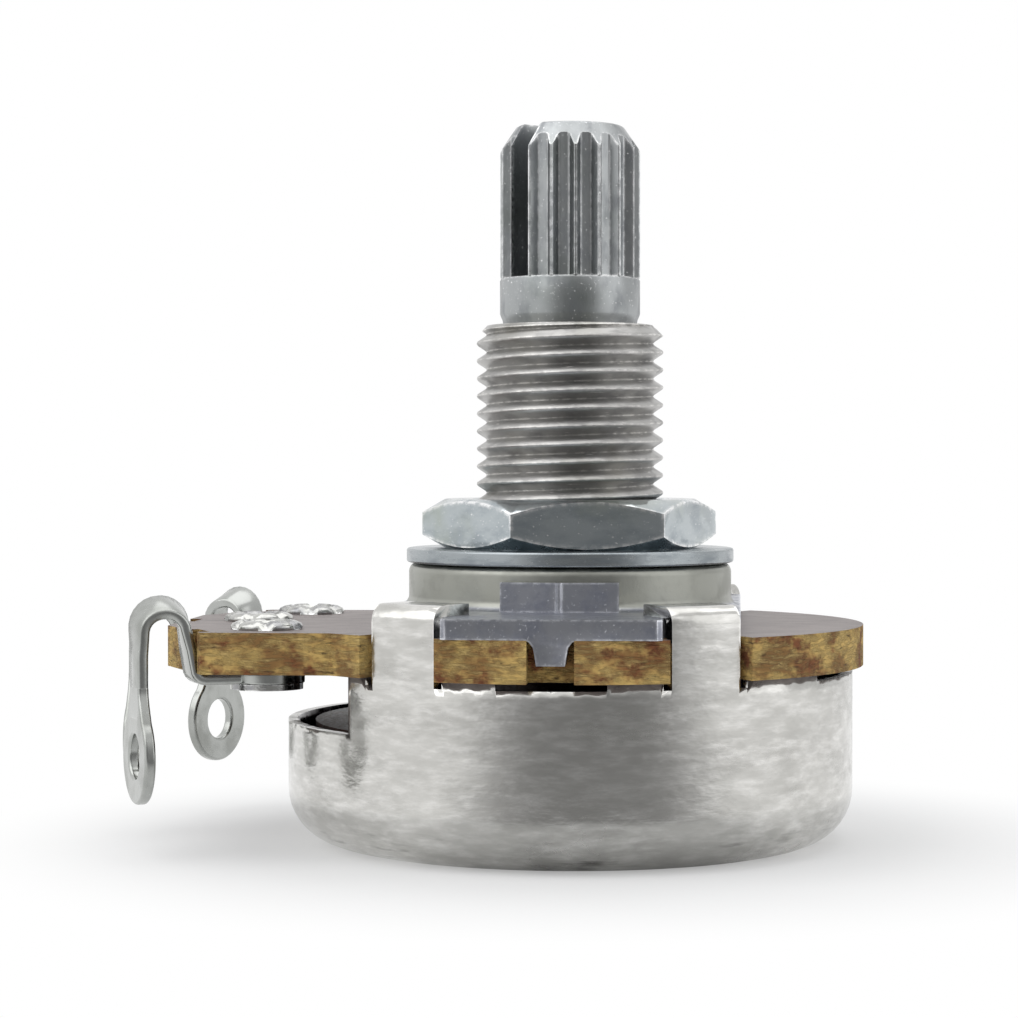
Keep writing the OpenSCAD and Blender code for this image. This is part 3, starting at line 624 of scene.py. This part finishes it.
# %% [markdown]
# ## Solder lugs
#
# The lug's eye is an outline with a hole, softened all round. It is a hair thicker than the strip that it
# closes, so that their faces don't lie in one plane. The foot is a ring that the eyelet clamps.

# %% Lugs
leg_r, arch_w = 18.87, 1.89
foot_z, foot_r, bend_r, notch_top = wafer_z - 0.5, 1.5, 0.425, 7.7
eye_z, eye_r, eye_hole_r, eye_t = 4.2, 1.95, 0.9, lug_t + 0.016
eye_top = eye_z + eye_r


def lug_path(arch_top):
    """The strip's middle line as (reach, height) points, from the foot over the arch and down the leg."""
    rise = leg_r - arch_w
    arch_z = arch_top - (arch_w + lug_t) / 2
    strip_z = foot_z + lug_t / 2
    path = [(12.1, strip_z), (14, strip_z), (16.0, strip_z)] + arc(rise - 0.725, notch_top, bend_r, -90, 0, 5)
    path += [(rise - 0.15, (notch_top + arch_z) / 2)] + arc(leg_r - arch_w / 2, arch_z, arch_w / 2, 180, 0, 14)
    return path + [(leg_r, arch_z - 1.0), (leg_r, eye_top + 0.9), (leg_r, eye_top - 0.4)]


def lug_eye():
    half = [(0.75, eye_top + 0.95), (0.79, eye_top + 0.55), (0.95, eye_top + 0.15)]
    half += [(eye_r * math.sin(math.radians(a)), eye_z + eye_r * math.cos(math.radians(a)))
             for a in range(42, 181, 6)]
    outline = half + [(-y, z) for y, z in reversed(half[:-1])]
    eye = pull("eye", [(leg_r - eye_t / 2, y, z) for y, z in outline], (eye_t, 0, 0))
    bpy.ops.mesh.primitive_cylinder_add(vertices=48, radius=eye_hole_r, depth=2, location=(leg_r, 0, eye_z),
                                        rotation=(0, math.pi / 2, 0))
    cut(eye, bpy.context.object)
    soften(eye, 0.13, 3)
    return eye


def lug(name, angle, arch_top, twist):
    path = lug_path(arch_top)
    lifts = [max(0, min(1, (z - 8.2) / (arch_top - 8.4))) for r, z in path]
    obj = strip(name, [(r, 0, z) for r, z in path], [twist * lift * lift for lift in lifts])
    eye = lug_eye()
    foot = disc("foot", foot_r, foot_z, lug_t, eyelet_r, 0, steps=48)
    cut(foot, disc("foot_hole", eyelet_hole_r, foot_z - 1, 3, eyelet_r, 0, steps=32))
    soften(foot, 0.08)
    join(obj, eye, foot)
    shade(obj, 50)
    turn(obj, angle)
    return obj


settle(lug("terminal_front", 180 + lug_angle, 10.45, -24), "housing", "lug_tin", "lug_front")
settle(lug("terminal_middle", 180, 10.1, -20), "housing", "lug_tin", "lug_middle")
settle(lug("terminal_rear", 180 - lug_angle, 10.1, -24), "housing", "lug_tin", "lug_rear")

# %% [markdown]
# ## Eyelets
#
# Each lug is held by a hollow eyelet. Its head is rolled out over the wafer by a punch with a star point,
# which leaves a low crown of petals. The head is spun, and six groups of its points are pressed in and down.

# %% Eyelets
barrel_in, barrel_out, flange = 0.65, 0.95, 1.5
petals, petal_half, press_in, press_down = 6, 9, 0.86, 0.1


def eyelet(name, angle, start):
    top = wafer_z + wafer_t
    obj = lathe(name, [
        (barrel_in, foot_z - 0.25), (flange, foot_z - 0.25), (flange, foot_z), (barrel_out, foot_z),
        (barrel_out, top), (1.45, top), (flange, top + 0.1), (1.42, top + 0.24), (1.2, top + 0.34),
        (0.98, top + 0.38), (0.78, top + 0.3), (barrel_in, top + 0.1)], steps=48)
    edit(obj)
    for i in range(petals):
        a = math.radians(start + i * 360 / petals)
        pick_points(obj, lambda c: c.z > top + 0.05 and math.hypot(c.x, c.y) > 0.9
                    and math.cos(math.atan2(c.y, c.x) - a) > math.cos(math.radians(petal_half)))
        bpy.ops.transform.resize(value=(press_in, press_in, 1), center_override=(0, 0, 0))
        bpy.ops.transform.translate(value=(0, 0, -press_down))
    done()
    shade(obj, 60)
    edit(obj)
    bpy.ops.transform.translate(value=(eyelet_r, 0, 0))
    done()
    turn(obj, angle)
    return obj


settle(eyelet("rivet_front", 180 + lug_angle, 10), "housing", "eyelet_tin", "eyelet_front")
settle(eyelet("rivet_middle", 180, 25), "housing", "eyelet_tin", "eyelet_middle")
settle(eyelet("rivet_rear", 180 - lug_angle, 0), "housing", "eyelet_tin", "eyelet_rear")

# %% [markdown]
# ## Tools for finishes
#
# A finish is built from nodes. The colours are written as they look in the picture and turned into Blender's
# light values, and small helpers add nodes and join them, so that each recipe below stays readable.

# %% Node helpers
def ink(code):
    """A colour written as six hex digits, as Blender's light values."""
    parts = [int(code[i:i + 2], 16) / 255 for i in (0, 2, 4)]
    return (*[c / 12.92 if c < 0.04045 else ((c + 0.055) / 1.055) ** 2.4 for c in parts], 1.0)


def node(tree, kind, inputs=(), **settings):
    """Adds a node. Each input is a plain value, or another node's output to be joined."""
    made = tree.nodes.new("ShaderNode" + kind)
    for key, value in settings.items():
        setattr(made, key, value)
    for socket, value in dict(inputs).items():
        if isinstance(value, bpy.types.NodeSocket):
            tree.links.new(value, made.inputs[socket])
        else:
            made.inputs[socket].default_value = value
    return made


def blend(tree, amount, a, b):
    return node(tree, "Mix", {0: amount, 6: a, 7: b}, data_type="RGBA").outputs[2]


def remap(tree, value, low, high, to_low=0.0, to_high=1.0):
    return node(tree, "MapRange", {0: value, 1: low, 2: high, 3: to_low, 4: to_high},
                interpolation_type="SMOOTHSTEP").outputs[0]


def maths(tree, operation, *values):
    return node(tree, "Math", dict(enumerate(values)), operation=operation).outputs[0]


def times(tree, *values):
    product = values[0]
    for value in values[1:]:
        product = maths(tree, "MULTIPLY", product, value)
    return product


def place_in_mm(tree, axes=(1000, 1000, 1000)):
    """The place on the object, in millimetres. An axis given as 0 is left out."""
    spot = node(tree, "TexCoord").outputs["Object"]
    return node(tree, "VectorMath", {0: spot, 1: axes}, operation="MULTIPLY").outputs[0]


print("a middle grey is", round(ink("808080")[0], 3), "as light")

# %% [markdown]
# ## Effects that the finishes share
#
# Every metal here has cloudy patches, fine specks and bright edges, which are partly wear and partly a painted
# highlight, and only the sizes and colours differ.
# Each effect is therefore made once as a node group: `clouds` gives a mask of patches that can be stretched
# into brushed or turned lines, `edge_wear_and_highlight` finds the edges, and `metal_skin` lays the three over
# each other.

# %% Clouds
def effect(name, inputs, outputs):
    """Starts a node group with named sockets. A float, a vector or a colour is told by its value."""
    tree = bpy.data.node_groups.new(name, "ShaderNodeTree")
    for label, value in inputs.items():
        kind = "Float" if isinstance(value, float) else "Vector" if len(value) == 3 else "Color"
        socket = tree.interface.new_socket(name=label, in_out="INPUT", socket_type="NodeSocket" + kind)
        socket.default_value = value
    for label, kind in outputs.items():
        tree.interface.new_socket(name=label, in_out="OUTPUT", socket_type="NodeSocket" + kind)
    return tree, tree.nodes.new("NodeGroupInput").outputs, tree.nodes.new("NodeGroupOutput").inputs


clouds, given, out = effect("clouds", {"Stretch": (1.0, 1.0, 1.0), "Size": 1.0, "Low": 0.45, "High": 0.6},
                            {"Mask": "Float"})
drawn = node(clouds, "VectorMath", {0: place_in_mm(clouds), 1: given["Stretch"]}, operation="MULTIPLY").outputs[0]
noise = node(clouds, "TexNoise", {"Vector": drawn, "Scale": given["Size"], "Detail": 4.0, "Roughness": 0.6})
clouds.links.new(remap(clouds, noise.outputs[0], given["Low"], given["High"]), out["Mask"])
print("group:", clouds.name)

# %% [markdown]
# ## Worn edges and painted highlights
#
# A Bevel node bends the normal near an edge, so the normal before and after it differ only there. The
# difference gives a bright line along each edge, which is partly wear and partly a painted highlight, and noise
# breaks the line as handling does.

# %% Edge wear and painted highlight
edge_wear_and_highlight, given, out = effect("edge_wear_and_highlight", {"Width": 0.12, "Low": 0.01, "High": 0.1, "Breaks": 3.0},
                               {"Mask": "Float"})
rounded = node(edge_wear_and_highlight, "Bevel", {"Radius": times(edge_wear_and_highlight, given["Width"], MM)}, samples=6).outputs[0]
here = node(edge_wear_and_highlight, "NewGeometry").outputs["Normal"]
same = node(edge_wear_and_highlight, "VectorMath", {0: rounded, 1: here}, operation="DOT_PRODUCT").outputs["Value"]
sharp = remap(edge_wear_and_highlight, maths(edge_wear_and_highlight, "SUBTRACT", 1.0, same), given["Low"], given["High"])
noise = node(edge_wear_and_highlight, "TexNoise", {"Vector": place_in_mm(edge_wear_and_highlight), "Scale": given["Breaks"], "Detail": 3.0})
broken = remap(edge_wear_and_highlight, noise.outputs[0], 0.38, 0.6, 0.2, 1.0)
edge_wear_and_highlight.links.new(times(edge_wear_and_highlight, sharp, broken), out["Mask"])
print("group:", edge_wear_and_highlight.name)

# %% [markdown]
# ## Skin of a metal
#
# The dull colour lies in the cloudy patches, and the bright one on specks and on edges, as wear and as a painted
# highlight. A patch is also rougher than the rest, and both patches and specks stand a little proud.

# %% Metal skin
metal_skin, given, out = effect(
    "metal_skin", {"Color": (0.5, 0.5, 0.5, 1.0), "Dull": (0.3, 0.3, 0.3, 1.0), "Bright": (0.8, 0.8, 0.8, 1.0),
                   "Clouds": 0.0, "Specks": 0.0, "Wear and highlight": 0.0, "Smooth": 0.25, "Rough": 0.45},
    {"Color": "Color", "Roughness": "Float", "Height": "Float"})
color = blend(metal_skin, given["Clouds"], given["Color"], given["Dull"])
color = blend(metal_skin, given["Specks"], color, given["Bright"])
metal_skin.links.new(blend(metal_skin, given["Wear and highlight"], color, given["Bright"]), out["Color"])
roughness = remap(metal_skin, given["Clouds"], 0.0, 1.0, given["Smooth"], given["Rough"])
metal_skin.links.new(roughness, out["Roughness"])
metal_skin.links.new(maths(metal_skin, "MULTIPLY_ADD", given["Specks"], 0.4, given["Clouds"]), out["Height"])
print("group:", metal_skin.name)

# %% [markdown]
# ## A recipe for plated and turned metal
#
# The recipe places the shared groups in a material with values of its own. Patches and specks are given as
# (size, low, high, stretch): a larger size makes smaller patches, low and high set how much is covered, and a
# stretch above 1 on an axis makes thin lines across that axis.

# %% Metal recipe
def mask(tree, size, low, high, stretch=(1.0, 1.0, 1.0)):
    return node(tree, "Group", {"Size": size, "Low": low, "High": high, "Stretch": stretch},
                node_tree=clouds).outputs["Mask"]


def start(name):
    """A new material with a Principled shader joined to its output."""
    material = bpy.data.materials.new(name)
    material.use_nodes = True
    tree = material.node_tree
    tree.nodes.clear()
    shader = node(tree, "BsdfPrincipled")
    tree.links.new(shader.outputs[0], node(tree, "OutputMaterial").inputs["Surface"])
    return material, tree, shader


def emboss(tree, shader, height, relief):
    """Raises the surface by up to relief millimetres where height is 1."""
    bump = node(tree, "Bump", {"Height": height, "Strength": 1.0, "Distance": relief * MM})
    tree.links.new(bump.outputs[0], shader.inputs["Normal"])


def metal(name, colors, roughness, patches, specks, wear_and_highlight, relief, tint=None):
    """Colors are plain, dull and bright. The wear_and_highlight argument gives the width in millimetres of the
    bright edge, which is partly wear and partly a painted highlight, and how far the normal must turn there. Tint
    is a colour that large clouds add."""
    material, tree, shader = start(name)
    color, dull, bright = colors
    smooth, rough = roughness
    # Painted highlight: the bright edge line stands partly for wear and partly for light caught by the edge.
    worn_and_highlit = node(tree, "Group", {"Width": wear_and_highlight[0], "High": wear_and_highlight[1]}, node_tree=edge_wear_and_highlight).outputs["Mask"]
    skin = node(tree, "Group", {
        "Color": ink(color), "Dull": ink(dull), "Bright": ink(bright), "Clouds": mask(tree, *patches),
        "Specks": mask(tree, *specks), "Wear and highlight": worn_and_highlit, "Smooth": smooth, "Rough": rough},
        node_tree=metal_skin).outputs
    base = skin["Color"]
    if tint:
        base = blend(tree, times(tree, mask(tree, 0.22, 0.5, 0.75), 0.6), base, ink(tint))
    tree.links.new(base, shader.inputs["Base Color"])
    tree.links.new(skin["Roughness"], shader.inputs["Roughness"])
    shader.inputs["Metallic"].default_value = 1.0
    emboss(tree, shader, skin["Height"], relief)
    finish[name] = material
    print("finish:", name)


finish = {}
print("groups:", clouds.name, edge_wear_and_highlight.name, metal_skin.name)

# %% [markdown]
# ## The metals that show
#
# The can is plated steel with a hammered cloudiness. The front plate is a bluer zinc with sparkles, and the
# washer is the same but smoother. The nut is bright zinc with brushed flats. The bushing and the shaft were
# turned; the bushing's marks run around the axis, thin along z and long across it, and the shaft's patches are
# drawn out along it. The lugs are smooth tin.

# %% Metals
# The wear_and_highlight values give each metal bright edges, partly wear and partly a painted highlight; the nut's
# are the widest and strongest.
metal("cover_steel", ("cac9c5", "bbbab6", "eae9e6"), (0.16, 0.28), patches=(0.3, 0.36, 0.7, (1.0, 1.0, 1.8)),
      specks=(1.6, 0.35, 0.9, (0.5, 0.5, 1.8)), wear_and_highlight=(0.12, 0.12), relief=0.013)
metal("plate_zinc", ("afb1b8", "8e919c", "f0f2f8"), (0.32, 0.46), patches=(0.8, 0.4, 0.7),
      specks=(9.0, 0.63, 0.72), wear_and_highlight=(0.16, 0.05), relief=0.006)
metal("washer_steel", ("a2a8ab", "8c9398", "eceff0"), (0.26, 0.36), patches=(0.7, 0.4, 0.7, (1.0, 1.0, 4.0)),
      specks=(9.0, 0.66, 0.74), wear_and_highlight=(0.1, 0.1), relief=0.006)
metal("nut_steel", ("b4bbbe", "9ea6ab", "ffffff"), (0.12, 0.24), patches=(0.6, 0.4, 0.7, (1.0, 1.0, 2.5)),
      specks=(8.0, 0.64, 0.72, (1.0, 1.0, 1.6)), wear_and_highlight=(0.28, 0.015), relief=0.002, tint="a3aa9e")
metal("bushing_metal", ("b1b0ae", "9a9998", "fcfaf6"), (0.32, 0.46), patches=(0.8, 0.4, 0.7, (1.0, 1.0, 2.0)),
      specks=(5.0, 0.62, 0.76, (0.3, 0.3, 5.0)), wear_and_highlight=(0.14, 0.1), relief=0.006, tint="96948b")
metal("shaft_metal", ("a8abac", "8e9194", "ffffff"), (0.3, 0.44), patches=(0.9, 0.4, 0.7, (1.0, 1.0, 0.5)),
      specks=(9.0, 0.63, 0.72), wear_and_highlight=(0.16, 0.06), relief=0.008, tint="848a86")
metal("lug_tin", ("b3b5b2", "9fa19d", "f0f2f0"), (0.2, 0.3), patches=(0.5, 0.4, 0.72),
      specks=(8.0, 0.68, 0.78), wear_and_highlight=(0.08, 0.2), relief=0.006)
metal("eyelet_tin", ("c4c4c0", "98989a", "ffffff"), (0.14, 0.26), patches=(1.2, 0.4, 0.7),
      specks=(8.0, 0.66, 0.76), wear_and_highlight=(0.1, 0.1), relief=0.01)

# %% [markdown]
# ## Parts of a surface that differ
#
# The inside of the can gets a painted shade, dark though it is the same steel as the outside, and the round seat
# of the front plate is a warmer grey than its arms and pads.
# Both places are told by their distance from the shaft's axis and their height, so a colour is laid over the
# finish there. The can's foot also carries a few dark rubbed marks.

# %% Overlays
def reach(tree):
    flat = place_in_mm(tree, (1000, 1000, 0))
    return node(tree, "VectorMath", {0: flat}, operation="LENGTH").outputs["Value"]


def height(tree):
    return node(tree, "SeparateXYZ", {0: place_in_mm(tree)}).outputs[2]


def overlay(name, color, amount):
    """Lays a colour over a finish where amount, a mask made in the finish's own tree, is near 1."""
    tree = finish[name].node_tree
    shader = tree.nodes["Principled BSDF"]
    under = shader.inputs["Base Color"].links[0].from_socket
    tree.links.new(blend(tree, amount(tree), under, ink(color)), shader.inputs["Base Color"])
    print("overlay:", name, color)


# Painted shade: the inside of the can is darkened, since little light reaches it, though the steel is the same.
def can_inside_painted_shade(tree):
    return times(tree, remap(tree, reach(tree), 11.7, 11.62), remap(tree, height(tree), 2.2, 2.7),
                 remap(tree, height(tree), 7.9, 7.5))


def can_foot(tree):
    return times(tree, mask(tree, 0.55, 0.55, 0.75, (0.6, 0.6, 4.0)),
                 remap(tree, height(tree), 1.9, 0.5, 0.0, 0.8))


def plate_seat(tree):
    return times(tree, remap(tree, reach(tree), 7.08, 6.98), remap(tree, height(tree), 10.0, 10.3))


# The first overlay is a painted shade inside the can, and the next two are the foot's rubbed marks and the seat's
# warmer grey.
overlay("cover_steel", "2f292f", can_inside_painted_shade)
overlay("cover_steel", "5f5d5a", can_foot)
overlay("plate_zinc", "9fa099", plate_seat)

# %% [markdown]
# ## The metals inside
#
# The clip is blued spring steel and the thrust washer rolled brass. The wiper is rolled bronze. The ends of
# the track and the ring are silver paint, drawn on with a screen, so they are matt and finely grained.

# %% Inner metals
metal("clip_steel", ("6c7078", "44474f", "b8bec8"), (0.25, 0.42), patches=(2.0, 0.4, 0.7),
      specks=(9.0, 0.62, 0.7), wear_and_highlight=(0.1, 0.1), relief=0.008)
metal("thrust_brass", ("c2a05a", "8f7136", "f0dca0"), (0.2, 0.4), patches=(1.5, 0.4, 0.7, (0.3, 3.0, 1.0)),
      specks=(9.0, 0.62, 0.7), wear_and_highlight=(0.1, 0.1), relief=0.008)
metal("wiper_bronze", ("c08a5e", "8d5c38", "f2cfae"), (0.18, 0.36), patches=(1.8, 0.4, 0.7, (0.3, 3.0, 1.0)),
      specks=(8.0, 0.62, 0.7), wear_and_highlight=(0.1, 0.1), relief=0.006)
metal("silver_film", ("b4b3ae", "8e8c86", "dedcd6"), (0.42, 0.6), patches=(5.0, 0.4, 0.65),
      specks=(14.0, 0.58, 0.68), wear_and_highlight=(0.06, 0.2), relief=0.005)

# %% [markdown]
# ## Phenolic board
#
# The wafer is paper soaked in resin and pressed. Its faces are smooth, greyish brown with fine streaks from
# the paper. Its punched edge is torn: ochre layers with red-brown patches and dark gaps that run level, thin
# along z. The slope of the surface tells the two apart, so one material serves the whole piece.

# %% Board
finish["phenolic"], tree, shader = start("phenolic")
slope = node(tree, "SeparateXYZ", {0: node(tree, "NewGeometry").outputs["Normal"]}).outputs[2]
level = remap(tree, maths(tree, "ABSOLUTE", slope), 0.5, 0.85)
face = blend(tree, mask(tree, 2.2, 0.4, 0.68, (0.25, 1.0, 1.0)), ink("8d8380"), ink("6f6563"))
face = blend(tree, mask(tree, 9.0, 0.6, 0.7), face, ink("a89c97"))
layers = mask(tree, 0.55, 0.42, 0.6, (1.0, 1.0, 1.6))
fibres = mask(tree, 2.4, 0.42, 0.7, (0.6, 0.6, 2.6))
gaps = mask(tree, 1.5, 0.6, 0.74, (0.8, 0.8, 3.0))
torn = blend(tree, layers, ink("8e6a3c"), ink("d6b46c"))
torn = blend(tree, times(tree, fibres, 0.55), torn, ink("dcc07e"))
torn = blend(tree, mask(tree, 0.7, 0.5, 0.66), torn, ink("84502e"))
torn = blend(tree, times(tree, gaps, 0.8), torn, ink("3d2a1a"))
tree.links.new(blend(tree, level, torn, face), shader.inputs["Base Color"])
tree.links.new(remap(tree, level, 0.0, 1.0, 0.85, 0.48), shader.inputs["Roughness"])
emboss(tree, shader, times(tree, fibres, remap(tree, level, 0.0, 1.0, -1.0, -0.05)), 0.12)
print("finish: phenolic")

# %% [markdown]
# ## Moulding and carbon
#
# The rotor is a brown thermoset moulding with faint flow marks. The track is carbon ink: black, matt and
# grainy. Both take their marks from the same clouds, at different sizes.

# %% Moulding and carbon
def dull_finish(name, color, second, size, rough, grain):
    finish[name], tree, shader = start(name)
    tree.links.new(blend(tree, mask(tree, size, 0.42, 0.66), ink(color), ink(second)),
                   shader.inputs["Base Color"])
    fine = mask(tree, grain, 0.4, 0.7)
    tree.links.new(remap(tree, fine, 0.0, 1.0, rough - 0.08, rough + 0.08), shader.inputs["Roughness"])
    emboss(tree, shader, fine, 0.01)
    print("finish:", name)


dull_finish("rotor_moulding", "4a2f22", "33201a", size=0.6, rough=0.45, grain=6.0)
dull_finish("carbon_film", "1d1c1e", "2b2a2c", size=3.0, rough=0.62, grain=16.0)

# %% [markdown]
# ## Giving out the finishes
#
# A piece modelled above gets the finish of the slot it names. The solids that stay as the CAD made them keep
# their mesh, and only their material slot is filled again.

# %% Give out
kept = {"retaining_ring": "clip_steel", "thrust_washer": "thrust_brass", "rotor": "rotor_moulding",
        "drive_washer": "washer_steel", "wiper": "wiper_bronze", "resistive_track": "carbon_film",
        "collector_ring": "silver_film", "end_pad_front": "silver_film", "end_pad_rear": "silver_film"}
for name, slot in kept.items():
    for held in nodes[name].material_slots:
        held.material = finish[slot]
for piece, slot in dressed_pieces.items():
    bpy.data.objects[piece].data.materials.clear()
    bpy.data.objects[piece].data.materials.append(finish[slot])
print("finished:", len(kept), "solids and", len(dressed_pieces), "pieces")

# %% [markdown]
# ## Surroundings
#
# The picture was taken against white, with a darker room behind the camera that the flat front faces mirror.
# The camera sees a white background. What shines sees the same white backdrop behind and beside the object,
# and the darker room in front of it. Plain surfaces are lit evenly.

# %% World
room_way, room_level, right_level, even_light = (0.19, -0.98, 0.0), 0.28, 0.72, 0.5


def darker_room(tree, direction):
    """Falls from 1 to the room's level where a direction points to the front of the object."""
    toward = node(tree, "VectorMath", {0: direction, 1: room_way}, operation="DOT_PRODUCT")
    return remap(tree, toward.outputs["Value"], 0.6, 0.98, 1.0, room_level)


world = bpy.data.worlds.new("studio")
bpy.context.scene.world = world
world.use_nodes = True
tree = world.node_tree
tree.nodes.clear()
path = node(tree, "LightPath").outputs
view = node(tree, "TexCoord").outputs["Generated"]
right = remap(tree, node(tree, "SeparateXYZ", {0: view}).outputs[0], 0.1, 1.0, 1.0, right_level)
seen = times(tree, darker_room(tree, view), right)
mirrored = node(tree, "Background", {"Color": ink("ffffff"), "Strength": seen})
plain = node(tree, "Background", {"Color": ink("f4f6fa"), "Strength": even_light})
white = node(tree, "Background", {"Color": ink("ffffff"), "Strength": 1.0})
shiny = maths(tree, "MAXIMUM", path["Is Glossy Ray"], path["Is Transmission Ray"])
lit = node(tree, "MixShader", {0: shiny, 1: plain.outputs[0], 2: mirrored.outputs[0]})
both = node(tree, "MixShader", {0: path["Is Camera Ray"], 1: lit.outputs[0], 2: white.outputs[0]})
tree.links.new(both.outputs[0], node(tree, "OutputWorld").inputs[0])
print("world:", world.name)

# %% [markdown]
# ## Lamps
#
# Large square lamps give the soft light of the photograph: one from the left, a weak one from the right, and
# one from above. A lamp shines along its own -Z, so its Z is turned away from the object's middle.

# %% Lamps
object_middle = Vector((0, 0, 12 * MM))


def softbox(name, place, size, power):
    """A square lamp that looks at the middle of the object."""
    bpy.ops.object.light_add(type="AREA", location=place)
    lamp = bpy.context.object
    lamp.name = name
    lamp.data.shape, lamp.data.size, lamp.data.energy = "SQUARE", size, power
    lamp.rotation_euler = (Vector(place) - object_middle).to_track_quat("Z", "Y").to_euler()
    print("lamp:", name, power, "W")


softbox("key", (-0.18, -0.12, 0.24), 0.3, 0.26)
softbox("fill", (0.26, -0.06, 0.12), 0.24, 0.1)
softbox("top", (0.02, 0.05, 0.30), 0.3, 0.24)

# %% [markdown]
# ## Floor
#
# The floor is pale and keeps the object's soft shadow. Away from the object it turns into the white of the
# backdrop for the camera, so that no horizon shows. In reflections it is as bright as the room above it.

# %% Floor
near_edge, far_edge, near_glow = 0.013, 0.027, 0.35
leave_all()
bpy.ops.mesh.primitive_plane_add(size=6, location=(0, 0, 0))
floor = bpy.context.object
floor.name = "floor"
floor_white, tree, shader = start("floor_white")
shader.inputs["Roughness"].default_value = 0.9
shader.inputs["Specular IOR Level"].default_value = 0.0
spot = node(tree, "TexCoord").outputs["Object"]
pale = node(tree, "TexNoise", {"Vector": spot, "Scale": 60.0, "Detail": 3.0}).outputs[0]
tree.links.new(blend(tree, remap(tree, pale, 0.3, 0.7), ink("fbfbfa"), ink("f7f7f6")), shader.inputs["Base Color"])
away = node(tree, "VectorMath", {0: spot}, operation="LENGTH").outputs["Value"]
path = node(tree, "LightPath").outputs
seen = maths(tree, "MAXIMUM", path["Is Camera Ray"], path["Is Glossy Ray"])
amount = times(tree, seen, remap(tree, away, near_edge, far_edge, near_glow, 1.0))
direction = node(tree, "VectorMath", {0: spot}, operation="NORMALIZE").outputs[0]
strength = maths(tree, "MAXIMUM", path["Is Camera Ray"], darker_room(tree, direction))
glow = node(tree, "Emission", {"Color": ink("ffffff"), "Strength": strength}).outputs[0]
joined = node(tree, "MixShader", {0: amount, 1: shader.outputs[0], 2: glow}).outputs[0]
tree.links.new(joined, tree.nodes["Material Output"].inputs["Surface"])
floor.data.materials.append(floor_white)
print("floor:", floor_white.name)
